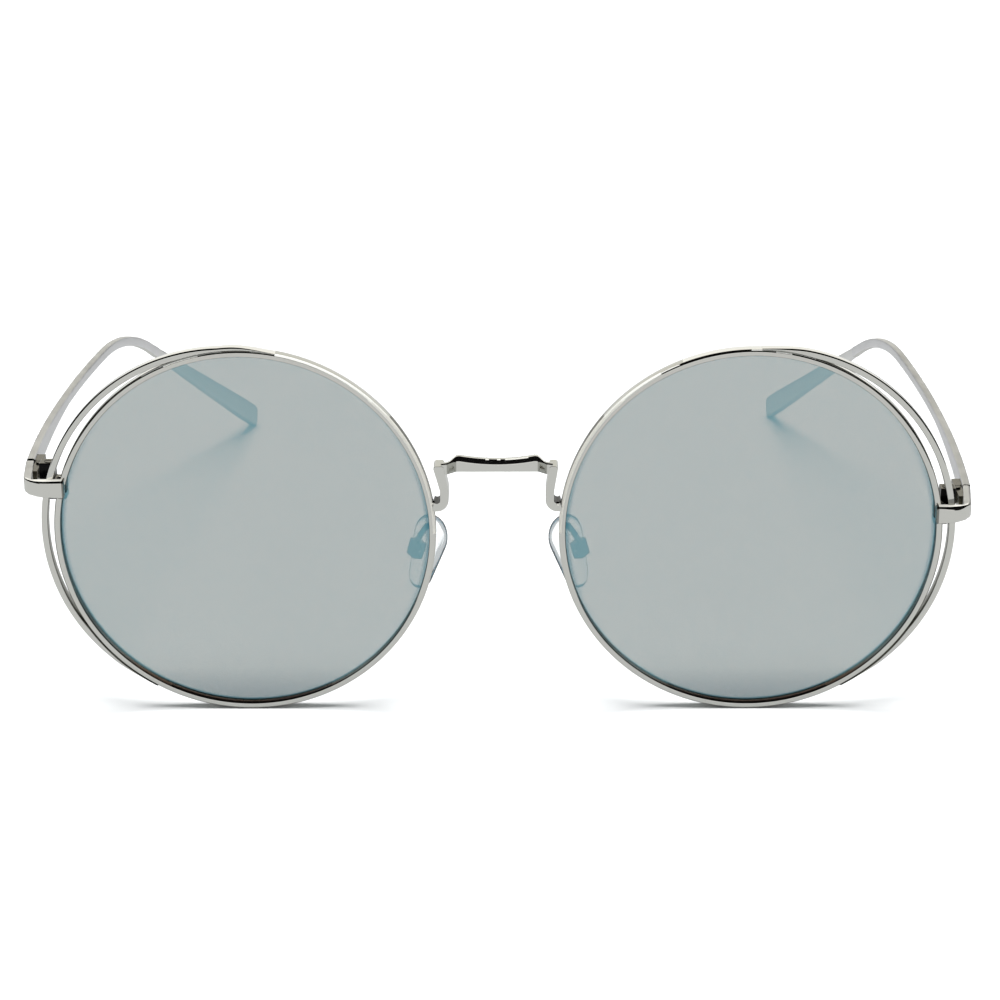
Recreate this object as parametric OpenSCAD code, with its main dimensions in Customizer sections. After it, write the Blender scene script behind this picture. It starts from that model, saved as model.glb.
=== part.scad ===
// Round metal sunglasses with a crescent of wire standing outside each rim.
// All sizes are in millimetres. The front stands on the two rims and faces -Y,
// the temples run back along +Y and their tips rest on the same floor, Z = 0.
// left_ and right_ are as seen from the front, so left_ is the side of -X.

/* [Front] */
// Outside radius of each rim ring
rim_r = 29; // [26:0.5:31]
// Distance from the middle of the bridge to each lens centre
lens_x = 38.3; // [37.3:0.1:40]
// Width of the rim seen from the front
rim_w = 1.0; // [0.9:0.05:1.4]
// Depth of the rim from front to back
rim_depth = 2.2; // [2.1:0.1:2.8]
// Depth of the V groove that holds the lens
groove_depth = 0.45; // [0.3:0.05:0.5]
// Width of the mouth of the V groove
groove_w = 0.9; // [0.7:0.05:1]
// Saw cut that opens the rim and the wire beside it
split_gap = 0.25; // [0.15:0.05:0.4]

/* [Lenses] */
// Thickness of the flat lens
lens_t = 1.2; // [1.1:0.1:1.6]
// How far the lens face lies behind the front of the rim
lens_inset = 0.9; // [0.7:0.05:1]
// Gap between the lens and the rim all round
lens_clear = 0.05; // [0.02:0.01:0.1]

/* [Outer wires] */
// How far the wire's circle is shifted from the lens centre
wire_shift = 2.4; // [2.1:0.1:3]
// Direction of that shift, in degrees above the horizontal
wire_shift_angle = 19.5; // [15:0.5:30]
// How much smaller the wire's circle is than the rim's
wire_shrink = 0.4; // [0.1:0.1:0.6]
// Width of the wire seen from the front
wire_w = 1.0; // [0.8:0.05:1.3]
// Depth of the wire from front to back
wire_depth = 1.75; // [1.4:0.05:2.1]
// Where the wire's upper end is ground off, in degrees round the lens
wire_upper_end = 88; // [80:1:89]
// Where the wire's lower end is ground off, in degrees round the lens
wire_lower_end = -53; // [-54:1:-46]

/* [Endpieces] */
// Height of the left endpiece above its lens centre
left_endpiece_z = 7.5; // [2:0.1:8]
// Height of the right endpiece above its lens centre
right_endpiece_z = 3.2; // [2:0.1:8]
// Height of the endpiece plate at its inner end
endpiece_h = 2.7; // [2.5:0.1:3]
// How much the plate's upper edge falls towards the corner
endpiece_fall = 0.15; // [0:0.05:0.2]
// How much the plate's lower edge rises towards the corner
endpiece_rise = 0.4; // [0:0.05:0.5]
// How far the plate stands in front of the rim
endpiece_proud = 1.2; // [0.8:0.1:1.6]
// How far the rim is let into the back of the plate
endpiece_let_in = 1.1; // [0.8:0.1:1.5]
// How much of the plate lies over the rim
endpiece_overlap = 1.1; // [1:0.05:1.4]
// Distance of the side wall's outside at the hinge from the rim's widest point
endpiece_reach = 5.4; // [5.4:0.1:6.5]
// Outside radius of the endpiece corner
endpiece_corner_r = 3.8; // [3.2:0.1:4]
// Outward lean of the side wall towards the hinge, in degrees
wall_splay = 7.5; // [4:0.5:8]
// Thickness of the side wall
wall_t = 1.2; // [1:0.05:1.3]
// Depth of the closing blocks behind the rim
lock_depth = 2.4; // [2.2:0.1:3]
// Height of the upper closing block
lock_upper_h = 4.6; // [3:0.1:5]
// Height of the lower closing block
lock_lower_h = 1.0; // [0.9:0.1:1.2]
// How far the closing blocks reach inwards from the rim's side
lock_reach = 1.6; // [0.9:0.1:1.8]
// Gap between the closing blocks and the side wall
lock_gap = 1.2; // [0.4:0.1:1.3]
// Shank radius of the closing screw
lock_screw_r = 0.5; // [0.4:0.05:0.55]
// Head radius of the closing screw
lock_head_r = 0.85; // [0.7:0.05:0.9]
// Head height of the closing screw
lock_head_h = 0.5; // [0.4:0.05:0.6]

/* [Hinges] */
// Distance of the hinge axis behind the front of the rim
hinge_y = 9.4; // [9.2:0.1:11]
// How far the hinge lies below the middle of the plate
hinge_drop = 0.3; // [0:0.05:0.4]
// Radius of the hinge barrel
hinge_r = 1.0; // [0.9:0.05:1.1]
// Height of the hinge barrel
hinge_h = 2.2; // [2.1:0.1:2.4]
// Shank radius of the hinge screw
hinge_screw_r = 0.5; // [0.4:0.05:0.55]
// Running clearance round the hinge screw
hinge_screw_clear = 0.05; // [0.02:0.01:0.1]
// Gap between two knuckles
knuckle_gap = 0.06; // [0.04:0.01:0.1]
// Clearance round the barrel
barrel_clear = 0.15; // [0.1:0.01:0.25]
// Head radius of the hinge screw
hinge_head_r = 0.85; // [0.7:0.05:0.9]
// Head height of the hinge screw
hinge_head_h = 0.25; // [0.2:0.05:0.35]
// Length of each hinge leaf beyond the barrel's clearance
leaf_len = 2.8; // [2.4:0.1:3]
// How far a knuckle's web is let into its leaf
web_in = 0.1; // [0.05:0.05:0.2]
// Gap between the ends of the side wall and the temple
butt_gap = 0.1; // [0.06:0.01:0.2]

/* [Temples] */
// Thickness of the temple
temple_t = 1.25; // [1:0.05:1.5]
// Height of the temple at the hinge
temple_hinge_h = 2.9; // [2.7:0.05:3.4]
// Height of the temple where it is slimmest
temple_slim_h = 1.7; // [1.5:0.05:2.2]
// Distance behind the hinge where it has become slim
temple_taper_len = 32; // [25:1:45]
// Length of the left temple's straight part behind the hinge
left_straight = 56.8; // [50:0.2:62]
// Length of the right temple's straight part behind the hinge
right_straight = 60.7; // [50:0.2:62]
// Radius of the bend over the ear
ear_bend_r = 42; // [35:0.5:50]
// Angle of the bend over the ear
ear_bend = 32; // [25:0.5:40]
// Length from the end of the bend to the end of the tip
ear_leg = 59.6; // [52:0.2:66]
// Outward lean of the temple at the hinge, in degrees
toe_out = 3.4; // [0:0.1:4]
// Radius of the left temple's inward bow seen from above
left_bow_r = 268; // [230:2:400]
// Radius of the right temple's inward bow seen from above
right_bow_r = 306; // [230:2:400]
// Distance from the end of the bend to the seam of the tip sleeve
tip_seam = 3.6; // [2:0.2:14]
// Height of the tip sleeve near its end
tip_h = 3.9; // [3:0.1:5]
// Length of the tip's end that has its full height
tip_even = 9; // [7:0.5:20]
// Thickness of the tip sleeve near its end
tip_t = 1.9; // [1.6:0.05:2.4]
// How far the upper corner of the tip's end leans back
tip_slant = 1.4; // [0.8:0.1:2]
// Radius of the tip's upper corner
tip_upper_r = 1.3; // [0.8:0.1:1.6]
// Radius of the tip's lower corner
tip_lower_r = 0.7; // [0.5:0.1:1.2]
// Height of the metal core inside the sleeve
core_h = 1.0; // [0.8:0.05:1.2]
// Thickness of the metal core inside the sleeve
core_t = 0.6; // [0.5:0.05:0.8]
// How far the core stops short of the tip's end
core_short = 8; // [6:0.5:25]
// Gap between the core and the sleeve
core_clear = 0.04; // [0.02:0.01:0.08]

/* [Bridge] */
// Width of the bridge strip in its legs
bridge_leg_w = 1.3; // [1.1:0.05:1.6]
// Depth of the bridge strip from front to back
bridge_depth = 3.3; // [2.6:0.1:4]
// Gap between each leg's foot and the rim
bridge_foot_gap = 1.2; // [1.1:0.05:1.3]
// Inside radius of the curl at each leg's foot
bridge_curl_r = 0.5; // [0.35:0.01:0.5]
// Height of the curl at each leg's foot above the lens centre
bridge_curl_z = 5.4; // [4.5:0.1:6]
// Height of the upright part of each leg
bridge_upright = 1.5; // [1:0.1:2]
// Outward lean of each leg's top
bridge_splay = 0.7; // [0.4:0.05:0.8]
// Height of the tops of the legs above the lens centre
bridge_top_z = 10.8; // [10:0.1:12]
// Height of the underside of the bar above the lens centre
bridge_under_z = 9.5; // [9:0.1:10]
// Thickness of the bar at its middle
bridge_mid_h = 1.2; // [1:0.05:1.5]
// Thickness of the bar at its two humps
bridge_hump_h = 1.6; // [1.5:0.05:1.9]
// Distance of each hump from the middle
bridge_hump_x = 5.7; // [5:0.1:6]
// How far the middle of the bar is set back
bridge_setback = 1.2; // [0:0.1:1.6]
// Half of the width of the part that is set back
bridge_setback_x = 6.2; // [5.5:0.1:6.4]
// Length of each slanted step beside it
bridge_step = 1.3; // [1:0.1:1.5]
// Radius of the legs' upper outside corners
bridge_corner_r = 0.6; // [0.3:0.05:0.8]

/* [Nose pads] */
// Distance of each pad screw from the middle
pad_x = 12.6; // [12:0.1:13.5]
// Distance of each pad screw behind the front of the rim
pad_y = 6.0; // [5.6:0.1:7]
// Height of each pad screw, below the lens centre
pad_drop = 4.6; // [3.5:0.1:6]
// Turn of the pad towards the nose, in degrees from facing back
pad_turn = 55; // [45:1:62]
// Lean of the pad's top towards the nose, in degrees
pad_lean = 15; // [10:1:20]
// Width of the pad box
box_w = 2.2; // [2.1:0.1:3]
// Height of the pad box
box_h = 2.6; // [2.5:0.1:3.2]
// Depth of the pad box
box_d = 1.6; // [1.5:0.1:2]
// Thickness of the pad box's sides
box_wall = 0.45; // [0.4:0.05:0.5]
// Thickness of the pad box's back
box_back = 0.3; // [0.2:0.05:0.3]
// Length of the pad
pad_len = 12.6; // [11:0.2:15]
// Width of the pad near its top
pad_w = 7; // [6:0.25:8]
// Width of the pad near its bottom
pad_low_w = 5.4; // [4.4:0.2:6]
// Thickness of the pad
pad_t = 2.6; // [2:0.1:3]
// Thickness of the pad at its edge
pad_edge_t = 0.9; // [0.7:0.05:1.2]
// How far the pad's face is set in from its edge
pad_slope = 1.1; // [0.6:0.05:1.3]
// Gap between the box and the back of the pad
pad_gap = 0.5; // [0.45:0.05:0.7]
// How far the pad's middle lies below its screw
pad_hang = 0.9; // [0:0.1:2]
// Radius of the pad's lug where the screw passes
lug_r = 0.42; // [0.38:0.02:0.42]
// Height of the neck between the lug and the pad
neck_h = 0.66; // [0.5:0.02:0.7]
// Shank radius of the pad screw
pad_screw_r = 0.25; // [0.2:0.05:0.25]
// Clearance round the pad screw and beside the lug
pad_clear = 0.06; // [0.03:0.01:0.1]
// Wire radius of the pad arm
arm_r = 0.45; // [0.4:0.05:0.55]
// Height of the arm's root above the lens centre
arm_root = 0.4; // [0:0.1:1.5]
// How far the arm runs back from the rim before it bends
arm_back = 1; // [0.8:0.1:1.6]
// How far it leans outwards on that way
arm_lean = 0.1; // [0.05:0.01:0.2]
// How far the arm bulges backwards and up on its way to the box
arm_bulge = 0.4; // [0.2:0.05:0.6]
// Height of the arm's last knee above the box
arm_above = 1.9; // [1.5:0.1:2.4]
// Distance of that knee behind the box's back
arm_out = 0.5; // [0.3:0.1:0.8]
// Distance of that knee from the box's middle, towards the front
arm_side = 1.8; // [1.4:0.1:2]
// How far the arm's end lies below the box's top
arm_in = 0.5; // [0.45:0.05:0.7]

/* [Hidden] */

ring_fn = 180;
small_fn = 48;
bow_fn = 360;
pad_fn = 32;
over = 1;
bend_steps = 24;
slot_part = 0.3;
slot_floor = 0.6;
arm_knee_r = arm_r * 1.08;

silver = [0.80, 0.80, 0.78];
silver_dark = [0.62, 0.62, 0.61];
lens_grey = [0.70, 0.73, 0.74, 0.8];
pad_clear_color = [0.86, 0.92, 0.95, 0.5];

groove_y = lens_inset + lens_t / 2;
groove_r = rim_r - rim_w + groove_depth;
lens_r = rim_r - rim_w - lens_clear;
lens_apex_r = groove_r - lens_clear;
lens_bevel = groove_w / 2 - lens_clear;

wire_r = rim_r - wire_shrink;
wire_dx = wire_shift * cos(wire_shift_angle);
wire_dz = wire_shift * sin(wire_shift_angle);

wall_out = lens_x + rim_r + endpiece_reach;
wall_end_y = hinge_y - butt_gap / 2;
wall_wide = wall_t / cos(wall_splay);
hinge_x = wall_out - wall_wide - hinge_r - barrel_clear;
clear_r = hinge_r + barrel_clear;
knuckle_h = (hinge_h - 2 * knuckle_gap) / 3;
lock_screw_y = rim_depth + lock_depth / 2;
corner_top = endpiece_h / 2 - endpiece_fall;
corner_low = endpiece_rise - endpiece_h / 2;

corner_y = endpiece_corner_r - endpiece_proud;
corner_x = wall_out - (wall_end_y - corner_y) * tan(wall_splay)
    - endpiece_corner_r / cos(wall_splay);

temple_x = wall_out - temple_t / 2;
// Heights, lean and straight length on one side, -1 for the left and 1 for the right
function plate_z(side) = rim_r + (side < 0 ? left_endpiece_z : right_endpiece_z);
function hinge_z(side) = plate_z(side) - hinge_drop;
function split_z(side) = plate_z(side) - endpiece_h / 2;
function straight(side) = side < 0 ? left_straight : right_straight;
function bow_r(side) = side < 0 ? left_bow_r : right_bow_r;
function bow_x(side) = temple_x - bow_r(side) * cos(toe_out);
function bow_y(side) = hinge_y + bow_r(side) * sin(toe_out);

tip_full = ear_leg - tip_even;
core_end = ear_leg - core_short;

curl_out_r = bridge_curl_r + bridge_leg_w;
rim_nose_x = lens_x - sqrt(pow(rim_r, 2) - pow(bridge_curl_z, 2));
leg_foot_x = rim_nose_x - bridge_foot_gap;
curl_x = leg_foot_x + bridge_curl_r;
leg_top_x = leg_foot_x + bridge_splay;
dip = bridge_hump_h - bridge_mid_h;
dip_r = (pow(bridge_hump_x, 2) + pow(dip, 2)) / (2 * dip);

// Height along the temple's leg, from the bend's end at 0
function leg_h(d) = temple_slim_h + (tip_h - temple_slim_h) * min(d / tip_full, 1);

// A point of the temple's side view on its leg, from the bend's end at 0
function leg_point(side, along, up) = [
    straight(side) + ear_bend_r * sin(ear_bend) + along * cos(ear_bend) + up * sin(ear_bend),
    ear_bend_r * (cos(ear_bend) - 1) - along * sin(ear_bend) + up * cos(ear_bend)
];

// Centre of the tip's lower corner in the temple's own side view
function corner(side) = leg_point(side, ear_leg - tip_lower_r, tip_lower_r - tip_h / 2);

// Upward pitch of a temple whose tip just touches the floor
function pitch(side) =
    asin((tip_lower_r - hinge_z(side)) / norm(corner(side)))
    - atan2(corner(side)[1], corner(side)[0]);

// Distance behind the front of a point of the side view
function depth(side, p) = hinge_y + p[0] * cos(pitch(side)) - p[1] * sin(pitch(side));

// The seam between the temple and its tip sleeve, where the bow ends
function seam_y(side) = depth(side, leg_point(side, tip_seam, 0));
function seam_heading(side) = asin((seam_y(side) - bow_y(side)) / bow_r(side));

// Side of the rim's outside circle at the plate's height
function rim_side_x(side) = lens_x + sqrt(pow(rim_r, 2) - pow(plate_z(side) - rim_r, 2));

// Inside face of the leaning side wall at a distance behind the front
function wall_in_x(y) = wall_out - wall_wide - (wall_end_y - y) * tan(wall_splay);

lock_out_x = wall_in_x(rim_depth) - lock_gap;
function lock_screw_x(side) = (rim_side_x(side) + lock_out_x) / 2;

// The middle of the box round everything lies at Y = 0
function back_y(side) = depth(side, corner(side)) + tip_lower_r;
mid_y = (max(back_y(-1), back_y(1)) - endpiece_proud) / 2;

// Drawn with the front of the rims at Y = 0, then moved so the origin is mid-way
module place() {
    translate([0, -mid_y, 0]) children();
}

// side is -1 for the left and 1 for the right; what it places is drawn at +X
module on_side(side) {
    if (side < 0) mirror([1, 0, 0]) children();
    else children();
}

module left() {
    place() on_side(-1) children();
}

module right() {
    place() children();
}

// Turns a shape drawn round Z, with its thickness upwards, to lie round Y at the lens
module at_lens() {
    translate([lens_x, 0, rim_r]) rotate([-90, 0, 0]) children();
}

module span_y(y0, y1) {
    translate([0, y1, 0]) rotate([90, 0, 0]) linear_extrude(y1 - y0) children();
}

module rod(a, b, r) {
    d = b - a;
    translate(a)
        rotate([0, acos(d[2] / norm(d)), atan2(d[1], d[0])])
            cylinder(h = norm(d), r = r, $fn = small_fn);
}

module split_cut(side) {
    translate([rim_side_x(side) - 2 * rim_w, -over, split_z(side) - split_gap])
        cube([rim_r, rim_depth + 2 * over, split_gap]);
}

module rim_shape() {
    rotate_extrude($fn = ring_fn)
        difference() {
            translate([rim_r - rim_w, 0]) square([rim_w, rim_depth]);
            polygon([
                [rim_r - rim_w - over, groove_y - groove_w / 2],
                [rim_r - rim_w, groove_y - groove_w / 2],
                [groove_r, groove_y],
                [rim_r - rim_w, groove_y + groove_w / 2],
                [rim_r - rim_w - over, groove_y + groove_w / 2]
            ]);
        }
}

module rim(side) {
    color(silver)
        difference() {
            at_lens() rim_shape();
            split_cut(side);
        }
}

module lens() {
    color(lens_grey)
        at_lens()
            rotate_extrude($fn = ring_fn)
                polygon([
                    [0, lens_inset],
                    [lens_r, lens_inset],
                    [lens_r, groove_y - lens_bevel],
                    [lens_apex_r, groove_y],
                    [lens_r, groove_y + lens_bevel],
                    [lens_r, lens_inset + lens_t],
                    [0, lens_inset + lens_t]
                ]);
}

module rim_disc() {
    at_lens()
        translate([0, 0, -over])
            cylinder(h = bridge_depth + 2 * over, r = rim_r, $fn = ring_fn);
}

// The crescent of wire, ground off bluntly at both ends
module outer_wire() {
    difference() {
        translate([lens_x + wire_dx, 0, rim_r + wire_dz])
            rotate([-90, 0, 0]) cylinder(h = wire_depth, r = wire_r, $fn = ring_fn);
        translate([lens_x + wire_dx, -over, rim_r + wire_dz])
            rotate([-90, 0, 0])
                cylinder(h = wire_depth + 2 * over, r = wire_r - wire_w, $fn = ring_fn);
        rim_disc();
        translate([lens_x, 0, rim_r])
            span_y(-over, wire_depth + over)
                polygon([
                    [0, 0],
                    [2 * rim_r * cos(wire_upper_end), 2 * rim_r * sin(wire_upper_end)],
                    [-2 * rim_r, 2 * rim_r],
                    [-2 * rim_r, -2 * rim_r],
                    [2 * rim_r * cos(wire_lower_end), 2 * rim_r * sin(wire_lower_end)]
                ]);
    }
}

// The part of the wire between two heights
module wire_between(z0, z1) {
    color(silver)
        intersection() {
            outer_wire();
            translate([0, -over, z0]) cube([3 * rim_r, wire_depth + 2 * over, z1 - z0]);
        }
}

module outer_wire_upper(side) {
    wire_between(split_z(side), 3 * rim_r);
}

module outer_wire_lower(side) {
    wire_between(-rim_r, split_z(side) - split_gap);
}

// Plan view of the endpiece: a plate across the front, a rounded corner and a wall
module endpiece_plan(side) {
    plate_in = rim_side_x(side) - endpiece_overlap;
    tangent_x = corner_x + endpiece_corner_r * cos(wall_splay);
    tangent_y = corner_y - endpiece_corner_r * sin(wall_splay);
    difference() {
        union() {
            translate([plate_in, -endpiece_proud])
                square([corner_x - plate_in, endpiece_proud + endpiece_let_in]);
            translate([corner_x, corner_y]) circle(endpiece_corner_r, $fn = small_fn * 2);
            polygon([
                [corner_x, corner_y],
                [tangent_x, tangent_y],
                [wall_out, wall_end_y],
                [wall_out - wall_wide, wall_end_y]
            ]);
        }
        polygon([
            [corner_x - 2 * endpiece_corner_r, endpiece_let_in],
            [wall_in_x(endpiece_let_in), endpiece_let_in],
            [wall_in_x(wall_end_y + over), wall_end_y + over],
            [corner_x - 2 * endpiece_corner_r, wall_end_y + over]
        ]);
    }
}

module endpiece(side) {
    plate_in = rim_side_x(side) - endpiece_overlap;
    color(silver)
        difference() {
            intersection() {
                translate([0, 0, plate_z(side) - temple_hinge_h])
                    linear_extrude(2 * temple_hinge_h) endpiece_plan(side);
                union() {
                    translate([0, 0, plate_z(side)])
                        span_y(-endpiece_proud - over, endpiece_let_in)
                            polygon([
                                [plate_in, -endpiece_h / 2],
                                [wall_out, corner_low],
                                [wall_out, corner_top],
                                [plate_in, endpiece_h / 2]
                            ]);
                    translate([corner_x, 0, plate_z(side)])
                        rotate([90, 0, 90])
                            linear_extrude(2 * endpiece_corner_r)
                                polygon([
                                    [endpiece_let_in, corner_low],
                                    [wall_end_y, -temple_hinge_h / 2 - hinge_drop],
                                    [wall_end_y, temple_hinge_h / 2 - hinge_drop],
                                    [endpiece_let_in, corner_top]
                                ]);
                }
            }
            at_lens() cylinder(h = rim_depth, r = rim_r, $fn = ring_fn);
            outer_wire();
            translate([hinge_x, hinge_y, plate_z(side) - temple_hinge_h])
                cylinder(h = 2 * temple_hinge_h, r = clear_r, $fn = small_fn);
        }
}

// A closing block on the back of the rim
module lock_block(side, h) {
    lock_in_x = rim_side_x(side) - lock_reach;
    translate([lock_in_x, rim_depth, 0]) cube([lock_out_x - lock_in_x, lock_depth, h]);
}

module rim_lock_upper(side) {
    color(silver_dark)
        translate([0, 0, split_z(side)])
            difference() {
                lock_block(side, lock_upper_h);
                translate([lock_screw_x(side), lock_screw_y, 0]) {
                    translate([0, 0, -over])
                        cylinder(
                            h = lock_upper_h + 2 * over,
                            r = lock_screw_r + hinge_screw_clear,
                            $fn = small_fn
                        );
                    translate([0, 0, lock_upper_h - lock_head_h])
                        cylinder(
                            h = lock_head_h + over,
                            r = lock_head_r + hinge_screw_clear,
                            $fn = small_fn
                        );
                }
            }
}

module rim_lock_lower(side) {
    color(silver_dark)
        translate([0, 0, split_z(side) - split_gap - lock_lower_h])
            difference() {
                lock_block(side, lock_lower_h);
                translate([lock_screw_x(side), lock_screw_y, -over])
                    cylinder(h = lock_lower_h + 2 * over, r = lock_screw_r, $fn = small_fn);
            }
}

// Round head with a straight slot, its underside at Z = 0
module slotted_head(r, h) {
    difference() {
        cylinder(h = h, r = r, $fn = small_fn);
        translate([-r - over, -r * slot_part / 2, h * slot_floor])
            cube([2 * r + 2 * over, r * slot_part, h]);
    }
}

module rim_lock_screw(side) {
    head_z = lock_upper_h - lock_head_h;
    foot_z = -split_gap - lock_lower_h;
    color(silver)
        translate([lock_screw_x(side), lock_screw_y, split_z(side)]) {
            translate([0, 0, foot_z]) cylinder(h = head_z - foot_z, r = lock_screw_r, $fn = small_fn);
            translate([0, 0, head_z]) slotted_head(lock_head_r, lock_head_h);
        }
}

// One knuckle ring of the hinge, n = 0 at the bottom
module knuckle(n, bore) {
    translate([hinge_x, hinge_y, n * (knuckle_h + knuckle_gap) - hinge_h / 2])
        difference() {
            cylinder(h = knuckle_h, r = hinge_r, $fn = small_fn);
            translate([0, 0, -over]) cylinder(h = knuckle_h + 2 * over, r = bore, $fn = small_fn);
        }
}

// Web from the axis to the leaf for one knuckle, dir = -1 forwards or 1 backwards
module knuckle_web(n, dir, bore) {
    z0 = n * (knuckle_h + knuckle_gap) - hinge_h / 2;
    y0 = dir < 0 ? hinge_y - clear_r - web_in : hinge_y;
    difference() {
        translate([hinge_x, y0, z0]) cube([hinge_r, clear_r + web_in, knuckle_h]);
        translate([hinge_x, hinge_y, z0 - over])
            cylinder(h = knuckle_h + 2 * over, r = bore, $fn = small_fn);
    }
}

module hinge_front(side) {
    bore = hinge_screw_r + hinge_screw_clear;
    leaf_end = hinge_y - clear_r;
    leaf_start = leaf_end - leaf_len;
    color(silver_dark)
        translate([0, 0, hinge_z(side)]) {
            translate([0, 0, -hinge_h / 2])
                linear_extrude(hinge_h)
                    polygon([
                        [hinge_x, leaf_start],
                        [wall_in_x(leaf_start), leaf_start],
                        [wall_in_x(leaf_end), leaf_end],
                        [hinge_x, leaf_end]
                    ]);
            knuckle(0, hinge_screw_r);
            knuckle_web(0, -1, hinge_screw_r);
            knuckle(2, bore);
            knuckle_web(2, -1, bore);
        }
}

module hinge_temple(side) {
    bore = hinge_screw_r + hinge_screw_clear;
    color(silver_dark)
        translate([0, 0, hinge_z(side)]) {
            difference() {
                translate([hinge_x, hinge_y + clear_r, -hinge_h / 2])
                    cube([wall_out - hinge_x, leaf_len, hinge_h]);
                linear_extrude(2 * hinge_h, center = true) bow_plan(side);
            }
            knuckle(1, bore);
            knuckle_web(1, 1, bore);
        }
}

module hinge_screw(side) {
    color(silver)
        translate([hinge_x, hinge_y, hinge_z(side)]) {
            translate([0, 0, -hinge_h / 2]) cylinder(h = hinge_h, r = hinge_screw_r, $fn = small_fn);
            translate([0, 0, hinge_h / 2]) slotted_head(hinge_head_r, hinge_head_h);
        }
}

// Plan view of the temple down to its tip: one long bow
module bow_plan(side) {
    first = -toe_out - 1;
    last = seam_heading(side) + 0.5;
    far_r = 2 * bow_r(side);
    translate([bow_x(side), bow_y(side)])
        intersection() {
            difference() {
                circle(bow_r(side) + temple_t / 2, $fn = bow_fn);
                circle(bow_r(side) - temple_t / 2, $fn = bow_fn);
            }
            polygon([
                [0, 0],
                [far_r * cos(first), far_r * sin(first)],
                [far_r * cos(last), far_r * sin(last)]
            ]);
        }
}

// Places a plan drawn along +Y to run on from the bow's end at the seam
module after_bow(side) {
    heading = seam_heading(side);
    translate([bow_x(side) + bow_r(side) * cos(heading), seam_y(side)])
        rotate(heading) children();
}

module strip_plan(t) {
    translate([-t / 2, -3 * tip_h]) square([t, 2 * ear_leg]);
}

// Places a shape drawn along the temple's leg, which starts at the bend's end
module on_leg(side) {
    translate([straight(side), -ear_bend_r])
        rotate(-ear_bend)
            translate([0, ear_bend_r]) children();
}

// A line round the ear's bend at a height above the temple's middle line
function bend_line(side, up) = [
    for (i = [0:bend_steps])
        let (a = ear_bend * i / bend_steps)
        [
            straight(side) + (ear_bend_r + up) * sin(a),
            (ear_bend_r + up) * cos(a) - ear_bend_r
        ]
];

function reversed(list) = [for (i = [len(list) - 1:-1:0]) list[i]];

// Side view of the temple as far as the tip's seam, with the hinge at the origin
module temple_side(side) {
    start = butt_gap / 2;
    half_hinge = temple_hinge_h / 2;
    half_slim = temple_slim_h / 2;
    half_seam = leg_h(tip_seam) / 2;
    polygon(concat(
        [[start, -half_hinge], [temple_taper_len, -half_slim]],
        bend_line(side, -half_slim),
        [leg_point(side, tip_seam, -half_seam), leg_point(side, tip_seam, half_seam)],
        reversed(bend_line(side, half_slim)),
        [[temple_taper_len, half_slim], [start, half_hinge]]
    ));
}

// Stands a side view up at the hinge and spreads it across the whole width
module stand(side) {
    translate([-2 * wall_out, hinge_y, hinge_z(side)])
        rotate([pitch(side), 0, 0])
            rotate([90, 0, 90])
                linear_extrude(4 * wall_out) children();
}

// Spreads a plan view over the whole height of the glasses
module pillar() {
    translate([0, 0, -rim_r]) linear_extrude(4 * rim_r) children();
}

module temple(side) {
    color(silver) {
        difference() {
            intersection() {
                stand(side) temple_side(side);
                pillar() on_side(side) bow_plan(side);
            }
            translate([side * hinge_x, hinge_y, hinge_z(side) - temple_hinge_h])
                cylinder(h = 2 * temple_hinge_h, r = clear_r, $fn = small_fn);
        }
        intersection() {
            stand(side)
                on_leg(side)
                    translate([0, -core_h / 2]) square([core_end, core_h]);
            pillar() on_side(side) after_bow(side) strip_plan(core_t);
        }
    }
}

// Side view of the tip sleeve in the leg's own line
module tip_side() {
    top_x = ear_leg - tip_slant - tip_upper_r;
    low_x = ear_leg - tip_lower_r;
    polygon([
        [tip_seam, -leg_h(tip_seam) / 2],
        [tip_full, -tip_h / 2],
        [low_x, -tip_h / 2],
        [ear_leg, tip_lower_r - tip_h / 2],
        [ear_leg - tip_slant, tip_h / 2 - tip_upper_r],
        [top_x, tip_h / 2],
        [tip_full, tip_h / 2],
        [tip_seam, leg_h(tip_seam) / 2]
    ]);
    translate([low_x, tip_lower_r - tip_h / 2]) circle(tip_lower_r, $fn = small_fn);
    translate([top_x, tip_h / 2 - tip_upper_r]) circle(tip_upper_r, $fn = small_fn);
}

// Plan view of the tip sleeve, thicker towards its end
module tip_plan() {
    before = -1.5 * tip_h;
    full_y = tip_full * cos(ear_bend);
    polygon([
        [-temple_t / 2, before],
        [temple_t / 2, before],
        [temple_t / 2, 0],
        [tip_t / 2, full_y],
        [tip_t / 2, 2 * ear_leg],
        [-tip_t / 2, 2 * ear_leg],
        [-tip_t / 2, full_y],
        [-temple_t / 2, 0]
    ]);
}

module temple_tip(side) {
    color(silver)
        difference() {
            intersection() {
                stand(side) on_leg(side) tip_side();
                pillar() on_side(side) after_bow(side) tip_plan();
            }
            intersection() {
                stand(side)
                    on_leg(side)
                        translate([tip_seam - over, -core_h / 2 - core_clear])
                            square([
                                core_end - tip_seam + core_clear + over,
                                core_h + 2 * core_clear
                            ]);
                pillar() on_side(side) after_bow(side) strip_plan(core_t + 2 * core_clear);
            }
        }
}

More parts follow.
